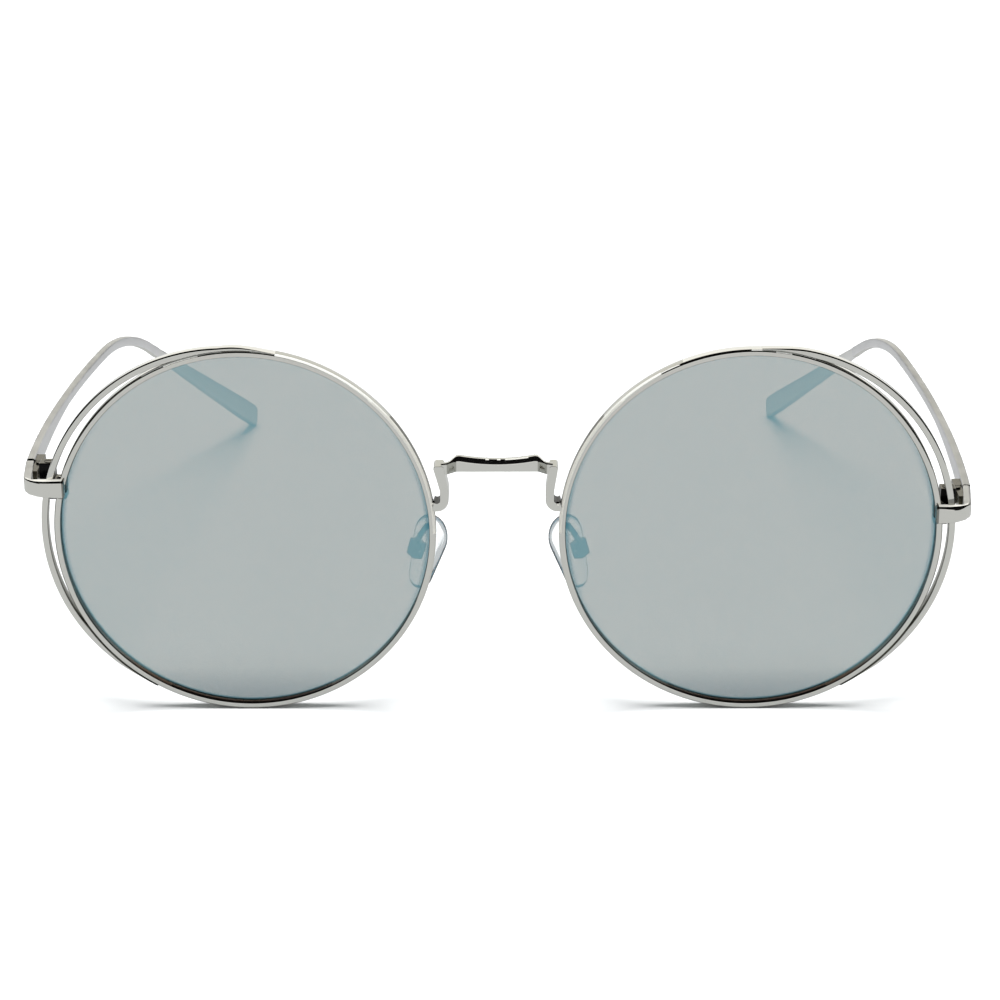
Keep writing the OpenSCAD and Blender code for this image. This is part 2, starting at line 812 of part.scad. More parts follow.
// Front view of one half of the bridge, with the lens centre's height at 0
module bridge_half_front() {
    difference() {
        union() {
            difference() {
                translate([curl_x, bridge_curl_z]) circle(curl_out_r, $fn = small_fn * 2);
                translate([curl_x, bridge_curl_z]) circle(bridge_curl_r, $fn = small_fn);
                translate([curl_x - 2 * curl_out_r, bridge_curl_z])
                    square([4 * curl_out_r, 2 * curl_out_r]);
            }
            polygon([
                [leg_foot_x - bridge_leg_w, bridge_curl_z],
                [leg_foot_x, bridge_curl_z],
                [leg_foot_x, bridge_curl_z + bridge_upright],
                [leg_top_x, bridge_top_z - bridge_corner_r],
                [leg_top_x - bridge_corner_r, bridge_top_z],
                [leg_top_x - bridge_leg_w, bridge_top_z],
                [leg_top_x - bridge_leg_w, bridge_under_z],
                [leg_foot_x - bridge_leg_w, bridge_curl_z + bridge_upright]
            ]);
            translate([leg_top_x - bridge_corner_r, bridge_top_z - bridge_corner_r])
                circle(bridge_corner_r, $fn = small_fn);
            polygon([
                [0, bridge_under_z],
                [leg_top_x - bridge_leg_w, bridge_under_z],
                [leg_top_x - bridge_leg_w, bridge_top_z],
                [bridge_hump_x, bridge_under_z + bridge_hump_h],
                [0, bridge_under_z + bridge_hump_h]
            ]);
        }
        translate([0, bridge_under_z + bridge_mid_h + dip_r]) circle(dip_r, $fn = bow_fn);
    }
}

// Plan view of the bridge strip, its middle set back in two slanted steps
module bridge_plan() {
    x0 = bridge_setback_x;
    x1 = bridge_setback_x + bridge_step;
    x2 = lens_x;
    polygon([
        [-x2, 0], [-x1, 0], [-x0, bridge_setback],
        [x0, bridge_setback], [x1, 0], [x2, 0],
        [x2, bridge_depth], [x1, bridge_depth], [x0, bridge_depth + bridge_setback],
        [-x0, bridge_depth + bridge_setback], [-x1, bridge_depth], [-x2, bridge_depth]
    ]);
}

module bridge() {
    color(silver)
        difference() {
            intersection() {
                translate([0, 0, rim_r])
                    span_y(-over, bridge_depth + bridge_setback + over) {
                        bridge_half_front();
                        mirror([1, 0]) bridge_half_front();
                    }
                pillar() bridge_plan();
            }
            rim_disc();
            mirror([1, 0, 0]) rim_disc();
        }
}

// Pad frame: X runs along the pad screw, Y points at the nose, Z runs up the pad
module at_pad() {
    translate([pad_x, pad_y, rim_r - pad_drop])
        rotate([0, -pad_lean, 0])
            rotate([0, 0, pad_turn])
                children();
}

function pad_to_front(p) =
    let (x = p[0] * cos(pad_turn) - p[1] * sin(pad_turn))
    let (y = p[0] * sin(pad_turn) + p[1] * cos(pad_turn))
    [
        pad_x + x * cos(pad_lean) - p[2] * sin(pad_lean),
        pad_y + y,
        rim_r - pad_drop + x * sin(pad_lean) + p[2] * cos(pad_lean)
    ];

function between(a, b) = (a + b) / 2;

module pad_arm() {
    root_z = rim_r + arm_root;
    root_x = lens_x - rim_r + rim_w / 2;
    behind = [root_x + arm_lean, rim_depth + arm_back, root_z];
    knee = pad_to_front([-arm_side, -box_d / 2 - arm_out, box_h / 2 + arm_above]);
    route = [
        [root_x, rim_depth - arm_r, root_z],
        behind,
        between(behind, knee) + [0, arm_bulge, arm_bulge],
        knee,
        pad_to_front([0, arm_r - box_d / 2, box_h / 2 - arm_in])
    ];
    color(silver)
        difference() {
            union() {
                for (i = [0:len(route) - 2]) rod(route[i], route[i + 1], arm_r);
                for (i = [1:len(route) - 1]) translate(route[i]) sphere(arm_knee_r, $fn = small_fn);
            }
            translate([root_x - over, rim_depth - 2 * over, root_z - over]) cube(2 * over);
            at_pad() pad_box_body();
        }
}

module pad_box_body() {
    translate([-box_w / 2, -box_d / 2, -box_h / 2]) cube([box_w, box_d, box_h]);
}

module pad_box() {
    color(silver)
        at_pad()
            difference() {
                pad_box_body();
                translate([box_wall - box_w / 2, box_back - box_d / 2, box_wall - box_h / 2])
                    cube([box_w - 2 * box_wall, box_d, box_h - 2 * box_wall]);
                translate([-box_w, 0, 0])
                    rotate([0, 90, 0]) cylinder(h = 2 * box_w, r = pad_screw_r, $fn = small_fn);
            }
}

module pad_screw() {
    color(silver)
        at_pad()
            rotate([0, 90, 0]) {
                translate([0, 0, -box_w / 2]) cylinder(h = box_w, r = pad_screw_r, $fn = small_fn);
                translate([0, 0, box_w / 2]) slotted_head(2 * pad_screw_r, pad_screw_r);
            }
}

// Drop-shaped pad, wide at its top and narrow at its bottom, domed towards the nose
module pad_body() {
    back_y = box_d / 2 + pad_gap;
    top_z = pad_len / 2 - pad_hang - pad_w / 2;
    low_z = pad_low_w / 2 - pad_len / 2 - pad_hang;
    hull() {
        for (end = [[top_z, pad_w / 2], [low_z, pad_low_w / 2]]) {
            translate([0, back_y, end[0]])
                rotate([-90, 0, 0]) cylinder(h = pad_edge_t, r = end[1], $fn = pad_fn);
            translate([0, back_y, end[0]])
                rotate([-90, 0, 0]) cylinder(h = pad_t, r = end[1] - pad_slope, $fn = pad_fn);
        }
    }
}

module nose_pad() {
    lug_len = box_w - 2 * box_wall - 2 * pad_clear;
    color(pad_clear_color)
        at_pad() {
            pad_body();
            difference() {
                union() {
                    translate([-lug_len / 2, 0, 0])
                        rotate([0, 90, 0]) cylinder(h = lug_len, r = lug_r, $fn = small_fn);
                    translate([-lug_len / 2, 0, -neck_h / 2])
                        cube([lug_len, box_d / 2 + pad_gap, neck_h]);
                }
                translate([-box_w, 0, 0])
                    rotate([0, 90, 0])
                        cylinder(h = 2 * box_w, r = pad_screw_r + pad_clear, $fn = small_fn);
            }
        }
}

place() bridge();
left() rim(-1);  // left_rim
right() rim(1);  // right_rim
left() lens();  // left_lens
right() lens();  // right_lens
left() outer_wire_upper(-1);  // left_outer_wire_upper
right() outer_wire_upper(1);  // right_outer_wire_upper
left() outer_wire_lower(-1);  // left_outer_wire_lower
right() outer_wire_lower(1);  // right_outer_wire_lower
left() endpiece(-1);  // left_endpiece
right() endpiece(1);  // right_endpiece
left() rim_lock_upper(-1);  // left_rim_lock_upper
right() rim_lock_upper(1);  // right_rim_lock_upper
left() rim_lock_lower(-1);  // left_rim_lock_lower
right() rim_lock_lower(1);  // right_rim_lock_lower
left() rim_lock_screw(-1);  // left_rim_lock_screw
right() rim_lock_screw(1);  // right_rim_lock_screw
left() hinge_front(-1);  // left_hinge_front
right() hinge_front(1);  // right_hinge_front
left() hinge_temple(-1);  // left_hinge_temple
right() hinge_temple(1);  // right_hinge_temple
left() hinge_screw(-1);  // left_hinge_screw
right() hinge_screw(1);  // right_hinge_screw
place() temple(-1);  // left_temple
place() temple(1);  // right_temple
place() temple_tip(-1);  // left_temple_tip
place() temple_tip(1);  // right_temple_tip
left() pad_arm();  // left_pad_arm
right() pad_arm();  // right_pad_arm
left() pad_box();  // left_pad_box
right() pad_box();  // right_pad_box
left() pad_screw();  // left_pad_screw
right() pad_screw();  // right_pad_screw
left() nose_pad();  // left_nose_pad
right() nose_pad();  // right_nose_pad
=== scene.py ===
import math

import bmesh
import bpy
from mathutils import Matrix, Vector


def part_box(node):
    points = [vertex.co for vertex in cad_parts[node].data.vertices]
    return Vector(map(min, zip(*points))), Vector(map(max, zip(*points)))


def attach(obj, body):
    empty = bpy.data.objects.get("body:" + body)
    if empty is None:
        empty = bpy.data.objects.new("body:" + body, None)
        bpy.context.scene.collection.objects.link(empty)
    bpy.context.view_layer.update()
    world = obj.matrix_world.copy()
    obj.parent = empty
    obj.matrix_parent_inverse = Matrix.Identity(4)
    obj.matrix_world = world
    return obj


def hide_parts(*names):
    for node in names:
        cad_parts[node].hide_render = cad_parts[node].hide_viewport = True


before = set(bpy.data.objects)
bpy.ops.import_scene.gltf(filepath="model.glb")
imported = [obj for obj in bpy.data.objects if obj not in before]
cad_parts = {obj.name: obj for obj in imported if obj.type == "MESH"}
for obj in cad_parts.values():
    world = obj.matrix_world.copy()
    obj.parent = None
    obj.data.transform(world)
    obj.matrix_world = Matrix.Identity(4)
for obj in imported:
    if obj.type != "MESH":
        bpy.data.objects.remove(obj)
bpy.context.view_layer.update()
for old in list(bpy.data.materials):
    bpy.data.materials.remove(old)

MM = 0.001
scene = bpy.context.scene
LEFT = -1
RIGHT = 1
SIDES = (("left", LEFT), ("right", RIGHT))


# Places and sizes that the CAD boxes give, in millimetres, y from the rims' front
rim_lo, rim_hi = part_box("right_rim")
FRONT_Y = rim_lo.y / MM
RIM_R = (rim_hi.x - rim_lo.x) / 2 / MM
LENS_X = (rim_hi.x + rim_lo.x) / 2 / MM
RIM_DEPTH = (rim_hi.y - rim_lo.y) / MM


def cad_box(name):
    """Low and high corner of a CAD node in millimetres, y from the rims' front."""
    lo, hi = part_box(name)
    shift = Vector((0, FRONT_Y, 0))
    return Vector(lo) / MM - shift, Vector(hi) / MM - shift


def cad_sides(name):
    """How far a CAD node's near and far side lie from the middle plane, in millimetres."""
    lo, hi = cad_box(name)
    return min(abs(lo.x), abs(hi.x)), max(abs(lo.x), abs(hi.x))


# Rims: section, groove for the lens and the saw cut that the closing blocks draw together
RIM_W = 1.0
RIM_EDGE = 0.42
RIM_INNER_EDGE = 0.22
BACK_EDGE = 0.2
GROOVE_Y = 1.5
GROOVE_W = 0.9
GROOVE_DEPTH = 0.45
SPLIT_GAP = 0.25

# Lip in front of the lens: its middle, what still counts as on it, and its degrees of painted black
# shade
LIP_MIDDLE = 0.7
LIP_TOLERANCE = 0.04
LIP_BLACK_SHADE = 26

# Outer edge, painted with highlights and shade: angles in degrees up from the nose side, tilts from
# back (-90) to front (90)
OUTER_BAND = 0.5
LIT_STRETCHES = {LEFT: ((40, 86), (95, 120)), RIGHT: ((40, 68), (89, 108))}
LIT_TAPER = 8
LIT_TILT = 33
LIT_TILT_REACH = 27
UNDER_LIT_TILT = -80
UNDER_LIT_END = 88
NOSE_STRETCH = (0, 40)
BACK_TILT = 5
FRONT_TILT = 84

# Wires; an end is its angle in degrees, the share of width left there and the least reach
WIRE_R = RIM_R - 0.4
WIRE_W = 1.0
WIRE_DEPTH = 1.75
WIRE_EDGE = 0.28
WIRE_SHIFT = 2.4
WIRE_SHIFT_ANGLE = math.radians(19.5)
UPPER_ENDS = {LEFT: (101, 0.1, 0.55), RIGHT: (88, 0.5, 0.0)}
LOWER_END = (-60, 0.1, 0.2)
WIRE_TAPER = math.radians(14)
# How far over the right plate's top the upper wire is painted with shade
WIRE_SHADED_FOOT = 0.9

# Endpieces; PLATE_END is an inset and a shrink each, PLATE_EDGES run from the front top round
PLATE_H = 2.7
PLATE_OVER = 0.1
PLATE_FALL = 0.15
PLATE_RISE = 0.4
PLATE_LET_IN = 0.3
PLATE_END = ((0.0, 0.22), (0.06, 0.09), (0.2, 0.0))
PLATE_EDGES = (0.42, 0.15, 0.15, 0.35)
CORNER_EDGE = {LEFT: 0.26, RIGHT: 0.75}
CORNER_EDGE_START = 3
CORNER_EDGE_RUN = 12
CORNER_R = 3.8
WALL_SPLAY = math.radians(7.5)
WALL_T = 1.2
HINGE_DROP = 0.3
PLATE_END_SHADE = 0.3
WALL_START_Y = 1.0

# Temples: a strip that is high at the hinge, with a skirt under it that fades out
TEMPLE_T = 1.25
TEMPLE_EDGE = 0.32
TEMPLE_HINGE_H = 2.9
TEMPLE_SLIM_H = 1.7
TEMPLE_TAPER = 32
SKIRT = 1.0
SEAM = {LEFT: 0.9, RIGHT: 0.35}
STRAIGHT = {LEFT: 56.8, RIGHT: 60.7}
BEND_R = 42
BEND = math.radians(32)
LEG = 59.6
TOE_OUT = math.radians(3.4)
BOW_R = {LEFT: 268, RIGHT: 306}

# Tips: a sleeve that widens, with a slanted and slightly thinned end
TIP_SEAM = 3.6
SEAM_INSET = 0.04
TIP_H = 3.9
TIP_EVEN = 9
TIP_T = 1.9
TIP_EDGE = 0.5
TIP_SLANT = 1.4
TIP_UPPER_R = 1.3
TIP_LOWER_R = 0.7
TIP_THIN_RUN = 1.2
TIP_THINNING = 0.8
TIP_CLOSE = 0.02

# Closing blocks
LOCK_IN = 0.7
LOCK_TALL = 2.3
LOCK_FOOT_H = 2.0
LOCK_TOP_GAP = 0.08
LOCK_LOWER_SHORT = 1.1
LOCK_BEVEL = 0.18

# Bridge legs, heights from the lens centres
LEG_W = 1.3
LEG_TOP_W = {LEFT: 1.55, RIGHT: 1.3}
LEG_SPLAY = {LEFT: 0.95, RIGHT: 0.58}
LEG_FRONT = 0.06
LEG_BEVEL = 0.13
LEG_CORNERS = (0, 0.45, 0.3, 0)
LEG_CORNER_RUN = 2
BRIDGE_DEPTH = 3.3
FOOT_GAP = 1.2
CURL_R = 0.5
CURL_Z = 5.4
CURL_INNER_END = math.radians(40)
CURL_OUTER_END = math.radians(62)
UPRIGHT = 1.5
TOP_Z = 10.8
CURL_SHADE_RISE = 0.5

# Bridge bar: hollow between two humps, set back in its middle by two slanted steps
UNDER_Z = 9.5
MID_H = 1.2
HUMP_H = 1.6
HUMP_X = 5.7
HUMP_END = 0.6
HUMP_FALL_LIMIT = 1.15
SETBACK = 1.2
SETBACK_X = 6.2
STEP = 1.3
BAR_END_BACK = 0.78
BAR_FRONT = 0.12
BAR_DEPTH = 2.65
BAR_EDGE = 0.88
BAR_LEAST_EDGE = 0.3
BAR_FLAT = 0.5
BAR_SLOPE = 0.45
BAR_LOWER = 0.15
BAR_DIP = 0.13
BAR_LIFT = 0.5
BAR_CHAMFER = 0.1
BAR_GLINTS = ((-1.75, -1.25), (0.0, 0.5), (1.2, 4.7))

# Nose pads; a back layer is its inset and its distance from the pad's back
PAD_X = 12.6
PAD_Y = 6.0
PAD_DROP = 4.6
PAD_TURN = math.radians(55)
PAD_LEAN = math.radians(15)
BOX_D = 1.6
PAD_LEN = 12.0
PAD_TOP_R = 3.5
PAD_LOW_R = 2.2
PAD_T = 2.6
PAD_GAP = 0.5
PAD_HANG = 0.6
PAD_BACK_LAYERS = ((0.25, 0.0), (0.08, 0.07), (0.0, 0.25))
DOME_START = 0.7
DOME_INSET = 2.35
LUG_R = 0.42
LUG_W = 1.18
LUG_INTO_PAD = 0.1
NECK_H = 0.66

# Solder: places from the rim's inner side at the curl's height, and half sizes; the dot is a painted
# highlight
FOOT_SOLDER = {LEFT: (0.42, 0.55, -0.55), RIGHT: (-0.15, 0.45, -0.7)}
FOOT_SOLDER_SIZE = (0.38, 0.45, 0.38)
DOT_FORWARD = 0.38
DOT_SIZE = (0.17, 0.14, 0.17)
PLATE_SOLDER_Y = 0.55
PLATE_SOLDER_SHIFT = 0.05
PLATE_SOLDER_SIZE = (0.42, 0.5, 0.4)

# How far a face has to point some way to take its painted light or shade, as a share of its normal
FACES_UP = 0.5
LEVEL_UP = 0.97
GLINT_UP = 0.88
STEP_FORWARD = 0.4
STRIP_INWARD = 0.7
STRIP_FORWARD = 0.9
WIRE_INWARD = 0.6
LOCK_BACKWARD = 0.3

# How far a face may point some way and still take it: level, or painted black shade in the curl
LEVEL_LEAN = 0.02
CURL_FORWARD = 0.3
CURL_DOWN = 0.1

# Steps that long and round stretches are drawn in
RIM_STEPS = 300
UPPER_STEPS = 100
LOWER_STEPS = 90
PLATE_STEPS = 10
CORNER_STEPS = 16
WALL_STEPS = 14
EDGE_STEPS = 4
UPRIGHT_EDGE_STEPS = 5
TAPER_STEPS = 16
TEMPLE_STEPS = 60
TIP_STEPS = 20
TIP_EVEN_STEPS = 6
TIP_END_STEPS = 14
CURL_OUTER_STEPS = 16
CURL_INNER_STEPS = 12
BAR_STEPS = 96
QUARTER_STEPS = 10
DROP_STEPS = 14
LUG_STEPS = 12
BLOB_ROWS = 10
BLOB_TURNS = 16

# Hard shading edges, in degrees between faces
HARD_ANGLE = 50
RING_HARD_ANGLE = 60
PAD_HARD_ANGLE = 70
CAD_HARD_ANGLE = 35

# Largest share of a side that a rounding takes, in a thin section and in any other
EDGE_SHARE = 0.45
CORNER_SHARE = 0.48

# Distances that count as none, in metres
SAME_POINT = 1e-7
NO_LENGTH = 1e-8


# Numbers and points
def at(x, y, z):
    """A point in millimetres, y behind the rims' front, as a point of the scene."""
    return Vector((x * MM, (y + FRONT_Y) * MM, z * MM))


def clamp(value, low=0.0, high=1.0):
    return min(max(value, low), high)


def between(start, end, share):
    return start + (end - start) * share


def steps(first, last, n):
    return [first + (last - first) * i / n for i in range(n + 1)]


def arc(x, z, r, first, last, n):
    """Points on a circle round (x, z), from one angle to another."""
    return [(x + r * math.cos(a), z + r * math.sin(a)) for a in steps(first, last, n)]


def rounded(points, radii, n=EDGE_STEPS):
    """The polygon with each corner rounded by its own radius."""
    out = []
    for i, point in enumerate(points):
        r = radii[i]
        p = Vector(point)
        a = Vector(points[i - 1]) - p
        b = Vector(points[(i + 1) % len(points)]) - p
        if r <= 0:
            out.append(p)
            continue
        half = a.angle(b) / 2
        cut = min(r / math.tan(half), CORNER_SHARE * a.length, CORNER_SHARE * b.length)
        r = cut * math.tan(half)
        centre = p + (a.normalized() + b.normalized()).normalized() * (r / math.sin(half))
        start = p + a.normalized() * cut - centre
        end = p + b.normalized() * cut - centre
        first = math.atan2(start.y, start.x)
        turn = (math.atan2(end.y, end.x) - first + math.pi) % (2 * math.pi) - math.pi
        out += [centre + Vector(q) for q in arc(0, 0, r, first, first + turn, n)]
    return out


# Mesh helpers
def make_mesh(name, verts, faces):
    """A smooth piece from points and faces, with double points and empty faces removed."""
    mesh = bpy.data.meshes.new(name)
    mesh.from_pydata([tuple(v) for v in verts], [], faces)
    mesh.validate()
    bm = bmesh.new()
    bm.from_mesh(mesh)
    bmesh.ops.remove_doubles(bm, verts=bm.verts, dist=SAME_POINT)
    bmesh.ops.dissolve_degenerate(bm, edges=bm.edges, dist=NO_LENGTH)
    bmesh.ops.recalc_face_normals(bm, faces=bm.faces)
    for face in bm.faces:
        face.smooth = True
    bm.to_mesh(mesh)
    bm.free()
    obj = bpy.data.objects.new(name, mesh)
    scene.collection.objects.link(obj)
    return obj


def skin(name, loops):
    """Joins equal-length loops of points into a tube with closed ends."""
    n = len(loops[0])
    last = (len(loops) - 1) * n
    verts = [point for loop in loops for point in loop]
    faces = []
    for a in range(0, last, n):
        for j in range(n):
            k = (j + 1) % n
            faces.append((a + j, a + k, a + n + k, a + n + j))
    faces.append(tuple(range(n))[::-1])
    faces.append(tuple(range(last, last + n)))
    return make_mesh(name, verts, faces)


def extrude_outline(name, outline, y0, y1, side):
    """An outline of (x, height) drawn out from y0 to y1, mirrored for the left side."""
    n = len(outline)
    verts = [at(side * x, y, z) for y in (y0, y1) for x, z in outline]
    faces = [tuple(range(n)), tuple(range(n, 2 * n))[::-1]]
    for j in range(n):
        k = (j + 1) % n
        faces.append((j, k, n + k, n + j))
    return make_mesh(name, verts, faces)


def edges(obj, angle=HARD_ANGLE):
    """Hard shading edges where faces meet at more than the angle."""
    mod = obj.modifiers.new("edges", "EDGE_SPLIT")
    mod.split_angle = math.radians(angle)
    mod.use_edge_sharp = False
    return obj


def bevel(obj, width, segments=3, angle=HARD_ANGLE):
    mod = obj.modifiers.new("bevel", "BEVEL")
    mod.width = width * MM
    mod.segments = segments
    mod.limit_method = "ANGLE"
    mod.angle_limit = math.radians(angle)
    mod.harden_normals = True
    return obj


# Shader helpers; the colour sockets of a Mix node are reached by number
MIX_SHARE = 0
MIX_LOW = 6
MIX_HIGH = 7
MIX_COLOR = 2
NOISE_RANGE = (0.3, 0.7)


def new_material(name):
    material = bpy.data.materials.new(name)
    material.use_nodes = True
    tree = material.node_tree
    tree.nodes.clear()
    return material, tree, tree.nodes.new("ShaderNodeOutputMaterial")


def feed(tree, target, value):
    """Sets an input to a number or a colour, or joins it to another node's output."""
    if isinstance(value, (int, float)):
        target.default_value = value
    elif isinstance(value, tuple):
        target.default_value = (*value, 1)
    else:
        tree.links.new(value, target)


def node(tree, kind, **values):
    """A shader node: words are its settings, all other values go to its inputs."""
    made = tree.nodes.new("ShaderNode" + kind)
    for name, value in values.items():
        if isinstance(value, str):
            setattr(made, name, value)
        else:
            feed(tree, made.inputs[name.replace("_", " ")], value)
    return made


def calc(tree, operation, *values):
    """A maths node; its values are numbers or other nodes' outputs."""
    made = node(tree, "Math", operation=operation)
    for i, value in enumerate(values):
        feed(tree, made.inputs[i], value)
    return made.outputs["Value"]


def map_range(tree, value, start, end, low=0.0, high=1.0, kind="LINEAR"):
    """Goes from low to high while the value goes from start to end."""
    made = node(
        tree, "MapRange", interpolation_type=kind, Value=value,
        From_Min=start, From_Max=end, To_Min=low, To_Max=high,
    )
    return made.outputs["Result"]


def mix_colors(tree, share, low, high):
    """From the low colour to the high one; each is fixed or another node's output."""
    made = node(tree, "Mix", data_type="RGBA")
    feed(tree, made.inputs[MIX_SHARE], share)
    feed(tree, made.inputs[MIX_LOW], low)
    feed(tree, made.inputs[MIX_HIGH], high)
    return made.outputs[MIX_COLOR]


def noise(tree, scale, detail=2.0):
    """Noise in the object's own space, so it stays on the piece."""
    coords = node(tree, "TexCoord")
    made = node(tree, "TexNoise", Scale=scale, Detail=detail, Vector=coords.outputs["Object"])
    return made.outputs["Fac"]


def add_shaders(tree, a, b):
    both = node(tree, "AddShader")
    feed(tree, both.inputs[0], a)
    feed(tree, both.inputs[1], b)
    return both.outputs["Shader"]


def mix_shaders(tree, share, a, b):
    both = node(tree, "MixShader", Fac=share)
    feed(tree, both.inputs[1], a)
    feed(tree, both.inputs[2], b)
    return both.outputs["Shader"]


def let_light_through(tree, seen, color):
    """The shader that is seen; lamps and soft light only take a faint tint from it."""
    clear = node(tree, "BsdfTransparent", Color=color)
    path = node(tree, "LightPath")
    passing = calc(tree, "MAXIMUM", path.outputs["Is Shadow Ray"], path.outputs["Is Diffuse Ray"])
    return mix_shaders(tree, passing, seen, clear.outputs["BSDF"])


# Clouds and grain of the metals
TINT_LOW = 0.97
TINT_HIGH = 1.02
CLOUD_SCALE = 150.0
POLISH_SCALE = 420.0
POLISH_DETAIL = 3.0
GRAIN_SCALE = 1400.0
GRAIN_HEIGHT = 0.02


def metal(name, color, rough, vary, grain, metallic=1.0):
    """Plated metal: faint clouds in its tint and polish, and a fine grain."""
    material, tree, out = new_material(name)
    low = tuple(c * TINT_LOW for c in color)
    high = tuple(min(c * TINT_HIGH, 1.0) for c in color)
    tint = mix_colors(tree, noise(tree, CLOUD_SCALE), low, high)
    clouds = noise(tree, POLISH_SCALE, POLISH_DETAIL)
    polish = map_range(tree, clouds, *NOISE_RANGE, rough - vary, rough + vary)
    bump = node(
        tree, "Bump", Strength=grain, Distance=GRAIN_HEIGHT * MM, Height=noise(tree, GRAIN_SCALE),
    )
    surface = node(
        tree, "BsdfPrincipled", Metallic=metallic, Base_Color=tint, Roughness=polish,
        Normal=bump.outputs["Normal"],
    )
    feed(tree, out.inputs["Surface"], surface.outputs["BSDF"])
    return material


# Lenses: a mirror coat in front of clear glass, with painted shade at its side edges and a painted
# floor shadow in its lowest part
LENS_MIDDLE_Y = 1.5
LENS_ROUGH = 0.02
COAT_CLOUD_SCALE = 45.0
COAT_CLOUD_DETAIL = 3.0
COAT_LOW = (0.240, 0.475, 0.548)
COAT_HIGH = (0.260, 0.495, 0.566)
# Painted shades of the coat and of the light through it: the floor's shadow low down, shade at the
# side edges
COAT_SHADED = (0.165, 0.325, 0.385)
COAT_EDGE_SHADE = (0.105, 0.300, 0.385)
COAT_THROUGH = (0.209, 0.133, 0.103)
THROUGH_SHADED = (0.130, 0.090, 0.075)
THROUGH_EDGE_SHADE = (0.095, 0.085, 0.075)
GLASS = (0.98, 0.98, 0.98)
GLASS_GLOSS = (0.03, 0.03, 0.03)
LENS_LIGHT = (0.93, 0.95, 0.96)

# Where a lens's painted shades start and end, and how closely the edge shade keeps to the sides
EDGE_SHADE = 0.8
EDGE_FULL = 0.2
EDGE_FOCUS = 8.0
LOW_SHADE = 5.7


def lens_shades(tree, place):
    """Two painted shade masks: 1 at a lens's side edges, and 1 at its lowest point; 0 in its middle.
    """
    seen_r = RIM_R - RIM_W
    x = calc(tree, "SUBTRACT", calc(tree, "ABSOLUTE", place.outputs["X"]), LENS_X * MM)
    z = calc(tree, "SUBTRACT", place.outputs["Z"], RIM_R * MM)
    squares = calc(tree, "ADD", calc(tree, "MULTIPLY", x, x), calc(tree, "MULTIPLY", z, z))
    r = calc(tree, "SQRT", squares)
    edge = map_range(tree, r, (seen_r - EDGE_SHADE) * MM, (seen_r - EDGE_FULL) * MM)
    aside = calc(tree, "ABSOLUTE", calc(tree, "DIVIDE", x, r))
    edge = calc(tree, "MULTIPLY", edge, calc(tree, "POWER", aside, EDGE_FOCUS))
    low = map_range(tree, z, (LOW_SHADE - seen_r) * MM, -seen_r * MM)
    return edge, low


def coat_shader(tree, edge, low):
    """The mirror coat: what it reflects, and what it lets through, both with the painted shades."""
    clouds = noise(tree, COAT_CLOUD_SCALE, COAT_CLOUD_DETAIL)
    tint = mix_colors(tree, clouds, COAT_LOW, COAT_HIGH)
    tint = mix_colors(tree, edge, mix_colors(tree, low, tint, COAT_SHADED), COAT_EDGE_SHADE)
    coat = node(tree, "BsdfGlossy", Roughness=LENS_ROUGH, Color=tint)
    tint = mix_colors(tree, low, COAT_THROUGH, THROUGH_SHADED)
    tint = mix_colors(tree, edge, tint, THROUGH_EDGE_SHADE)
    through = node(tree, "BsdfTransparent", Color=tint)
    return add_shaders(tree, coat.outputs["BSDF"], through.outputs["BSDF"])


def glass_shader(tree):
    clear = node(tree, "BsdfTransparent", Color=GLASS)
    gloss = node(tree, "BsdfGlossy", Roughness=LENS_ROUGH, Color=GLASS_GLOSS)
    return add_shaders(tree, clear.outputs["BSDF"], gloss.outputs["BSDF"])


def lens_material():
    """A light mirror coat on the front face, clear glass behind it."""
    material, tree, out = new_material("mirror_lens")
    coords = node(tree, "TexCoord")
    place = node(tree, "SeparateXYZ", Vector=coords.outputs["Object"])
    edge, low = lens_shades(tree, place)
    front = calc(tree, "LESS_THAN", place.outputs["Y"], (FRONT_Y + LENS_MIDDLE_Y) * MM)
    seen = mix_shaders(tree, front, glass_shader(tree), coat_shader(tree, edge, low))
    feed(tree, out.inputs["Surface"], let_light_through(tree, seen, LENS_LIGHT))
    return material


# Silicone of the nose pads
PAD_FACING = 0.25
PAD_CLEAR = (0.995, 1.0, 1.0)
PAD_EDGE_ON = (0.86, 0.90, 0.93)
PAD_GLOSS = (0.95, 0.97, 1.0)
PAD_LIGHT = (0.95, 0.97, 0.98)
PAD_CLOUD_SCALE = 220.0
PAD_ROUGH = (0.05, 0.16)
PAD_IOR = 1.2


def pad_material():
    """Clear silicone: blue-grey only where it is seen edge on."""
    material, tree, out = new_material("clear_silicone")
    facing = node(tree, "LayerWeight", Blend=PAD_FACING)
    tint = mix_colors(tree, facing.outputs["Facing"], PAD_CLEAR, PAD_EDGE_ON)
    clear = node(tree, "BsdfTransparent", Color=tint)
    rough = map_range(tree, noise(tree, PAD_CLOUD_SCALE), *NOISE_RANGE, *PAD_ROUGH)
    gloss = node(tree, "BsdfGlossy", Color=PAD_GLOSS, Roughness=rough)
    mirrored = node(tree, "Fresnel", IOR=PAD_IOR)
    body = mix_shaders(tree, mirrored.outputs["Fac"], clear.outputs["BSDF"], gloss.outputs["BSDF"])
    feed(tree, out.inputs["Surface"], let_light_through(tree, body, PAD_LIGHT))
    return material


# Metals: colour, roughness, how much that varies, grain, and how metallic, where it isn't 1.
# At 0 a face looks the same from all sides, as where the studio lights it evenly.
POLISHED = metal("polished_silver", (0.84, 0.835, 0.80), 0.06, 0.015, 0.02)
SATIN = metal("satin_silver", (0.83, 0.83, 0.81), 0.48, 0.04, 0.05)
SATIN_TIP = metal("satin_tip", (0.95, 0.95, 0.95), 0.46, 0.04, 0.05)
# Painted light: a paler copy of the satin for the temples' inner sides
SATIN_LIT_SIDE = metal("satin_painted_light", (0.93, 0.93, 0.95), 0.5, 0.04, 0.05)
